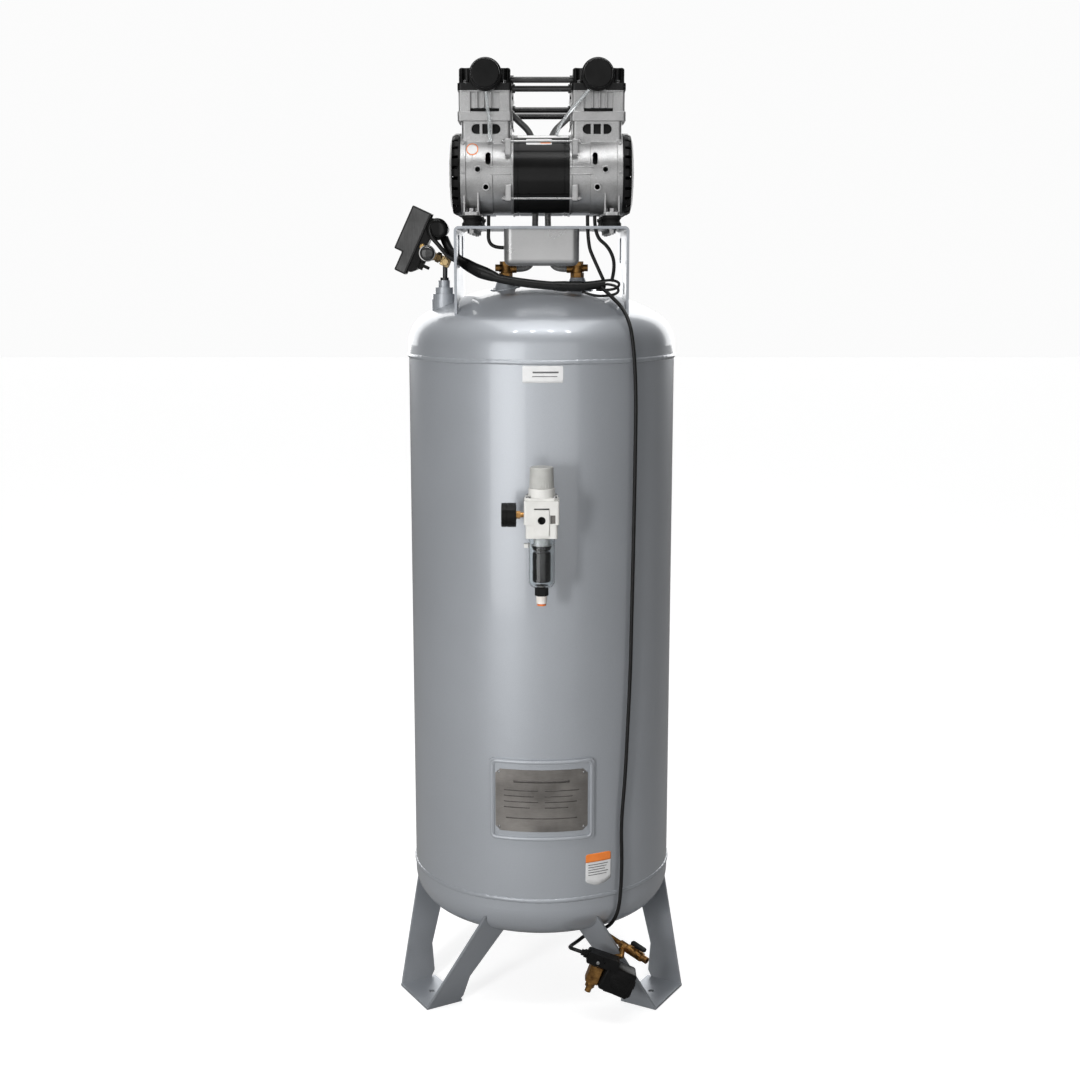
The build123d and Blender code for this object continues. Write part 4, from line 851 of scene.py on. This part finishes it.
welds.done("weld_beads", "tank", "tank_paint", smooth=70)

on_tank = upright(TANK_R + LABEL_LIFT)
label("tank_label", rounded_columns(-34, 38, 1221, 1251, 2.0), on_tank, "sticker")
TANK_LABEL_BARS = [(-16, 30, 1238, 3.0), (-17, 28, 1231.5, 1.4)]
tank_marks("tank_label_line", TANK_LABEL_BARS, TANK_R + PRINT_LIFT, "sticker_dark")

SHIELD = [
    (83, 284, 332), (84, 281.5, 334.5), (87, 279, 335.6), (92, 276.5, 336), (99, 273.8, 336), (107, 272, 336),
    (115, 273.8, 336), (122, 276.5, 336), (127, 279, 335.6), (130, 281.5, 334.5), (131, 284, 332),
]
BAND_FOOT = 319
label("shield_label", SHIELD, on_tank, "sticker")
band = [(x, max(low, BAND_FOOT), high) for x, low, high in SHIELD]
label("shield_label_band", band, upright(TANK_R + PRINT_LIFT), "sticker_orange", thick=0.1)
SHIELD_BARS = [(88, 126, 313, 1.5), (88, 123, 308, 1.5), (88, 120, 303, 1.5), (88, 126, 298, 1.5),
               (88, 123, 293, 1.5)]
tank_marks("shield_label_line", SHIELD_BARS, TANK_R + PRINT_LIFT, "sticker_dark", corner=0.5)

rivets = Build()
for x in (-79, 79):
    for z in (394, 500):
        y = -math.sqrt(PLATE_FACE_R ** 2 - x * x)
        rivets.lathe((x, y, z), (x, y, 0), [(2.6, -0.6), (2.6, 0.2), (2.1, 0.8), (1.1, 1.15)], 24)
rivets.done("nameplate_rivets", "steel", "plate_metal")
PLATE_BARS = [
    (-52, 52, 482, 5), (-70, -6, 466, 2.4), (6, 70, 466, 2.4), (-70, -14, 455, 2.4), (6, 58, 455, 2.4),
    (-70, -6, 444, 2.4), (6, 66, 444, 2.4), (-70, -22, 433, 2.4), (6, 50, 433, 2.4), (-66, 66, 412, 2.4),
]
tank_marks(
    "nameplate_mark", PLATE_BARS, PLATE_FACE_R + 0.03, "plate_mark", "plate_metal", thick=0.08, corner=0.8
)

# ---------------------------------------------------------------- pumps: bolts, rings, labels

PUMP_ROWS = (-80.0, 80.0)
SHAFT_Z, CYLINDER_X = 1588.4, 102.0
STATOR_R, CASE_R = 70.0, 71.0
HEAD_TOP_Z, BOLT_X, BOLT_Y = 1745.6, 34, 41
SLOT_Z, WINDOW_X, WINDOW_Z = 1700, 100, 1666.5
RIM_X, RIM_R, RIM_SCREW_RISE = 141, 73.5, 52
RIB_X, RIBS = 72, (-2.5, 10.5)
RIM_SCREW = [(2.9, 0), (2.9, 1.2), (2.2, 1.9), (1.1, 1.9), (0.9, 1.0)]
CASE_RING = [(69.2, 0), (71.4, 0.5), (71.4, 4.2), (69.2, 4.8)]
CASE_RING_X = 50.4

bolts = Build()
screws = Build()
rings = Build()
shade_inserts = Build()  # invented: dark inserts in the CAD's open windows and slots, painted shade that makes them look dark, as in the photograph
for pump_y in PUMP_ROWS:
    away = math.copysign(1, pump_y)
    for side in (-1, 1):
        shade_inserts.box((side * CYLINDER_X, pump_y + away * 37.4, SLOT_Z), (51.4, 2.0, 5.6), 0.2)
        shade_inserts.box((side * WINDOW_X, pump_y + away * 38.6, WINDOW_Z), (58, 0.8, 20), 0.2)
        for bolt_x in (-BOLT_X, BOLT_X):
            for bolt_y in (-BOLT_Y, BOLT_Y):
                spot = (side * CYLINDER_X + bolt_x, pump_y + bolt_y, HEAD_TOP_Z)
                bolts.hexagon(spot, (0, 0, 1), across=9.6, height=5.8, washer=6.2)
        for rise in (0, RIM_SCREW_RISE, -RIM_SCREW_RISE):
            reach = math.sqrt(RIM_R ** 2 - rise ** 2)
            start = (side * RIM_X, pump_y + away * (reach - 0.3), SHAFT_Z + rise)
            screws.lathe(start, (0, away * reach, rise), RIM_SCREW, 16)
        for rise in RIBS:
            rings.box((side * RIB_X, pump_y + away * 69.2, SHAFT_Z + rise), (42, 4.6, 2.4), 1.0)
        rings.lathe((side * CASE_RING_X, pump_y, SHAFT_Z), (side, 0, 0), CASE_RING, 96)
bolts.done("head_bolts", "steel", "steel")
shade_inserts.done("window_shade_inserts", "black_print_and_painted_shade", "black_plastic")
screws.done("rim_screws", "steel", "steel")
rings.done("case_rings", "cast", "cast_aluminium", smooth=50)

FRONT_PUMP_Y = PUMP_ROWS[0]
on_stator = lying(STATOR_R + LABEL_LIFT, FRONT_PUMP_Y, SHAFT_Z)
on_stator_label = lying(STATOR_R + PRINT_LIFT, FRONT_PUMP_Y, SHAFT_Z)
on_case = lying(CASE_R + LABEL_LIFT, FRONT_PUMP_Y, SHAFT_Z)
on_case_label = lying(CASE_R + PRINT_LIFT, FRONT_PUMP_Y, SHAFT_Z)
label(
    "stator_label", rounded_columns(-28, 18.5, 1638.4, 1649.6, 1.0), on_stator, "sticker_silver",
    "plate_metal",
)
label(
    "stator_label_bar", rounded_columns(-2, 16, 1641, 1647, 0.8), on_stator_label, "sticker_orange",
    "collet_orange", thick=0.1,
)
label(
    "stator_strip", rounded_columns(-44, 49, 1652, 1657, 0.8), on_stator, "sticker_silver", "plate_metal", 3
)
label(
    "round_label_ring", rounded_columns(-135.2, -113.5, 1619.4, 1641.0, 10.8, 30), on_case, "sticker_orange",
    "collet_orange",
)
label(
    "round_label", rounded_columns(-133.4, -115.3, 1621.2, 1639.2, 9.0, 30), on_case_label, "sticker",
    thick=0.1,
)

# ---------------------------------------------------------------- pressure switch: gland, lens, brass block

GLAND = (-194, -57, 1491)
GLAND_PROFILE = [
    (17, 0), (20.3, 1.5), (20.6, 8), (19.2, 13), (15.5, 16.2), (13.2, 16.4), (12.6, 14.4), (8, 13.6),
    (2, 13.4),
]
LENS = (-212, -73.8, 1447)
SWITCH = Vector((-235, -40, 1465))
ACROSS, UP = Vector((0.9074, 0, -0.4202)), Vector((0.4202, 0, 0.9074))
FACE = [(-29, -21), (-13, -21), (-13, -57), (3, -57), (3, 59), (-29, 59)]
FACE_Y0, FACE_Y1 = 29.5, 30.6
PIPE_BLOCK = (-180.5, -35, 1431)
PIPE_BLOCK_NUT = (-180.5, -47.5, 1431)
PLUG_NUT = (-221.5, -66.3, 1459)

gland = Build()
gland.lathe(GLAND, FRONT, GLAND_PROFILE, 64)
gland.done("switch_gland", "gloss_black", "black_plastic", smooth=50)
lens = Build()
lens.lathe(LENS, FRONT, [(13.6, 0), (13.6, 3.2), (12.2, 6.0), (9.4, 7.4), (5.5, 8.0), (1.2, 8.2)], 48)
lens.done("switch_plug_lens", "dark_lens", "black_plastic", smooth=60)
trim = Build()
trim.lathe(LENS, FRONT, [(13.4, -0.3), (15.4, 0.1), (15.2, 2.6), (13.5, 3.0)], 48)
trim.done("switch_plug_ring", "chrome", "steel", smooth=50)
# Lighter grey sheet over the dark cover's front face: painted light where the lamps fall on it.
face = Build()
ring = [SWITCH + ACROSS * a + UP * u for a, u in FACE]
face.skin([[p - Vector((0, depth, 0)) for p in ring] for depth in (FACE_Y0, FACE_Y1)])
face.done("switch_cover_painted_light", "cover_painted_light", "cover_grey")
block = Build()
block.box(PIPE_BLOCK, (18, 26, 17), 1.6, (0, 24, 0))
block.hexagon(PIPE_BLOCK_NUT, FRONT, across=12.5, height=4.5)
block.done("switch_pipe_block", "pale_brass", "brass")
plug_nut = Build()
plug_nut.hexagon(PLUG_NUT, FRONT, across=8.5, height=4.2, washer=5.4)
plug_nut.done("switch_plug_nut", "brass", "brass")

# ---------------------------------------------------------------- regulator, gauge and drain valve trim

REG_Y = -322.0
PORT = (0, -348.95, 990)
BONNET_TOP_Z, SCREW_HALF_X, SCREW_HALF_Y = 1031.0, 23, 16
GAUGE_Z, DIAL_X, TICK_X, GLASS_X = 996, -63.6, -64.1, -70.3

# Threaded liner in the regulator's outlet port, coloured black: painted shade deep in the hole.
thread = [(6.84, 0), (6.2, -0.8)]
for turn in range(8):
    thread += [(6.35, -1.4 - 1.5 * turn), (5.75, -2.15 - 1.5 * turn)]
liner = Build()
liner.lathe(PORT, FRONT, thread + [(0.1, -14), (0.1, -15), (6.84, -15)], 48, closed=True)
liner.done("port_thread_painted_shade", "black_print_and_painted_shade", "steel", smooth=20)
# Black strip across the regulator's front: painted shade of a groove.
details = Build()
details.box((0, -347.3, 1010), (26.6, 0.8, 1.8), 0.2)
details.done("regulator_groove_shade", "black_print_and_painted_shade", "black_plastic")
window = Build()
window.box((19.5, -341.9, 991.5), (8.2, 1.0, 14.2), 0.3)
window.done("regulator_window", "window_plate", "black_plastic")
bonnet_screws = Build()
for x in (-SCREW_HALF_X, SCREW_HALF_X):
    for y in (REG_Y - SCREW_HALF_Y, REG_Y + SCREW_HALF_Y):
        head = [(3.6, -3.2), (3.6, -0.8), (2.9, 0.2), (1.5, 0.45), (1.3, -1.2), (0.3, -1.3)]
        bonnet_screws.lathe((x, y, BONNET_TOP_Z), (0, 0, 1), head, 24)
bonnet_screws.done("bonnet_screws", "steel", "steel")
dial = Build()
dial.lathe((DIAL_X, REG_Y, GAUGE_Z), (-1, 0, 0), [(19.2, 0), (19.2, 0.35), (3.0, 0.4)], 64)
dial.done("gauge_dial", "sticker", "white_plastic")
ticks = Build()
for number in range(21):
    angle = math.radians(-135 + 13.5 * number)
    long_tick = number % 5 == 0
    radius = 15.6 if long_tick else 16.4
    length = 3.4 if long_tick else 1.8
    wide = 0.7 if long_tick else 0.4
    spot = (TICK_X, REG_Y - radius * math.sin(angle), GAUGE_Z + radius * math.cos(angle))
    ticks.box(spot, (0.24, wide, length), 0.05, (math.degrees(angle), 0, 0))
ticks.done("gauge_ticks", "black_print_and_painted_shade", "black_plastic")
pane = Build()
pane.lathe((GLASS_X, REG_Y, GAUGE_Z), (-1, 0, 0), [(19.25, -1.2), (19.25, 0), (10, 0.15), (1, 0.18)], 64)
pane.done("gauge_glass", "glass", "bowl_clear")

# The jacket is larger than the CAD's solenoid_coil (52 x 40 x 44), which it covers.
COIL = Vector((143, -250, 93))
COIL_TILT = 25
jacket = Build()
jacket.box(COIL, (60, 44, 52), 5.0, (0, COIL_TILT, 0))
jacket.box(COIL + Vector((3, -22.2, 1)), (34, 1.6, 26), 0.7, (0, COIL_TILT, 0))
for stripe in (-6, 0, 6):
    jacket.box(COIL + Vector((3, -23.0, 1 + stripe)), (24, 0.8, 1.6), 0.3, (0, COIL_TILT, 0))
jacket.done("solenoid_jacket", "black_plastic", "black_plastic")
plug_screw = Build()
plug_screw.lathe((106, -277.5, 136), FRONT, [(3.4, -1.5), (3.4, 0.9), (2.6, 1.7), (1.2, 1.7), (1.0, 0.8)], 20)
plug_screw.done("coil_plug_screw", "steel", "steel")

# ---------------------------------------------------------------- loom: tape wraps and spare loops

def along(path, radii, name, material, slot):
    """Soft wrap round a run: one ring of the given radius at each point of the path."""
    wrap = Build()
    rings = []
    for i, (p, r) in enumerate(zip(path, radii)):
        ahead = Vector(path[min(i + 1, len(path) - 1)]) - Vector(path[max(i - 1, 0)])
        x, y, _ = basis(ahead)
        rings.append([Vector(p) + (x * math.cos(t) + y * math.sin(t)) * r for t in circle(28)])
    wrap.skin(rings)
    wrap.done(name, material, slot, smooth=60)


LEFT_WRAP = [
    (-154, -87, 1436), (-147, -92, 1431.6), (-138, -98, 1426.5), (-130, -103, 1422), (-121, -108.5, 1417.5),
    (-112, -113, 1413.5), (-103, -116.5, 1410.3), (-95, -119, 1407.5), (-88, -120.8, 1405),
    (-82, -121.8, 1403.2),
]
LEFT_WRAP_RADII = [8.3, 9.2, 10.6, 11.0, 11.4, 12.0, 11.6, 10.7, 9.6, 8.2]
RIGHT_WRAP = [
    (20, -127.4, 1388.4), (30, -127.6, 1387.7), (42, -127.6, 1387.4), (55, -127.3, 1387.2),
    (68, -126.6, 1387.3), (80, -125.4, 1387.6),
]
RIGHT_WRAP_RADII = [8.1, 9.0, 9.5, 9.2, 9.4, 8.1]
along(LEFT_WRAP, LEFT_WRAP_RADII, "loom_wrap_left", "tape", "cable_black")
along(RIGHT_WRAP, RIGHT_WRAP_RADII, "loom_wrap_right", "tape", "cable_black")

SWITCH_CABLE_D, LOOP_D = 8.0, 5.0
SWITCH_CABLE = [
    (-207, -67, 1492), (-209, -77, 1482), (-194, -79, 1466), (-181, -79, 1450), (-170, -79, 1438),
    (-156, -84, 1432),
]
FOLD_LOOP = [
    (86, -121, 1385), (104, -123, 1394), (126, -122, 1400), (146, -121, 1393), (133, -121, 1379),
    (100, -123, 1381),
]
LOW_LOOP = [
    (74, -126, 1378), (92, -129, 1370), (126, -129, 1370), (143, -127, 1377), (136, -124, 1390),
    (118, -121, 1391),
]
free_cord(
    "switch_cable", SWITCH_CABLE, SWITCH_CABLE_D, "cable", "wiring_loom"
)
free_cord("fold_loop", FOLD_LOOP, LOOP_D, "cable", "wiring_loom")
free_cord("low_loop", LOW_LOOP, LOOP_D, "cable", "wiring_loom")
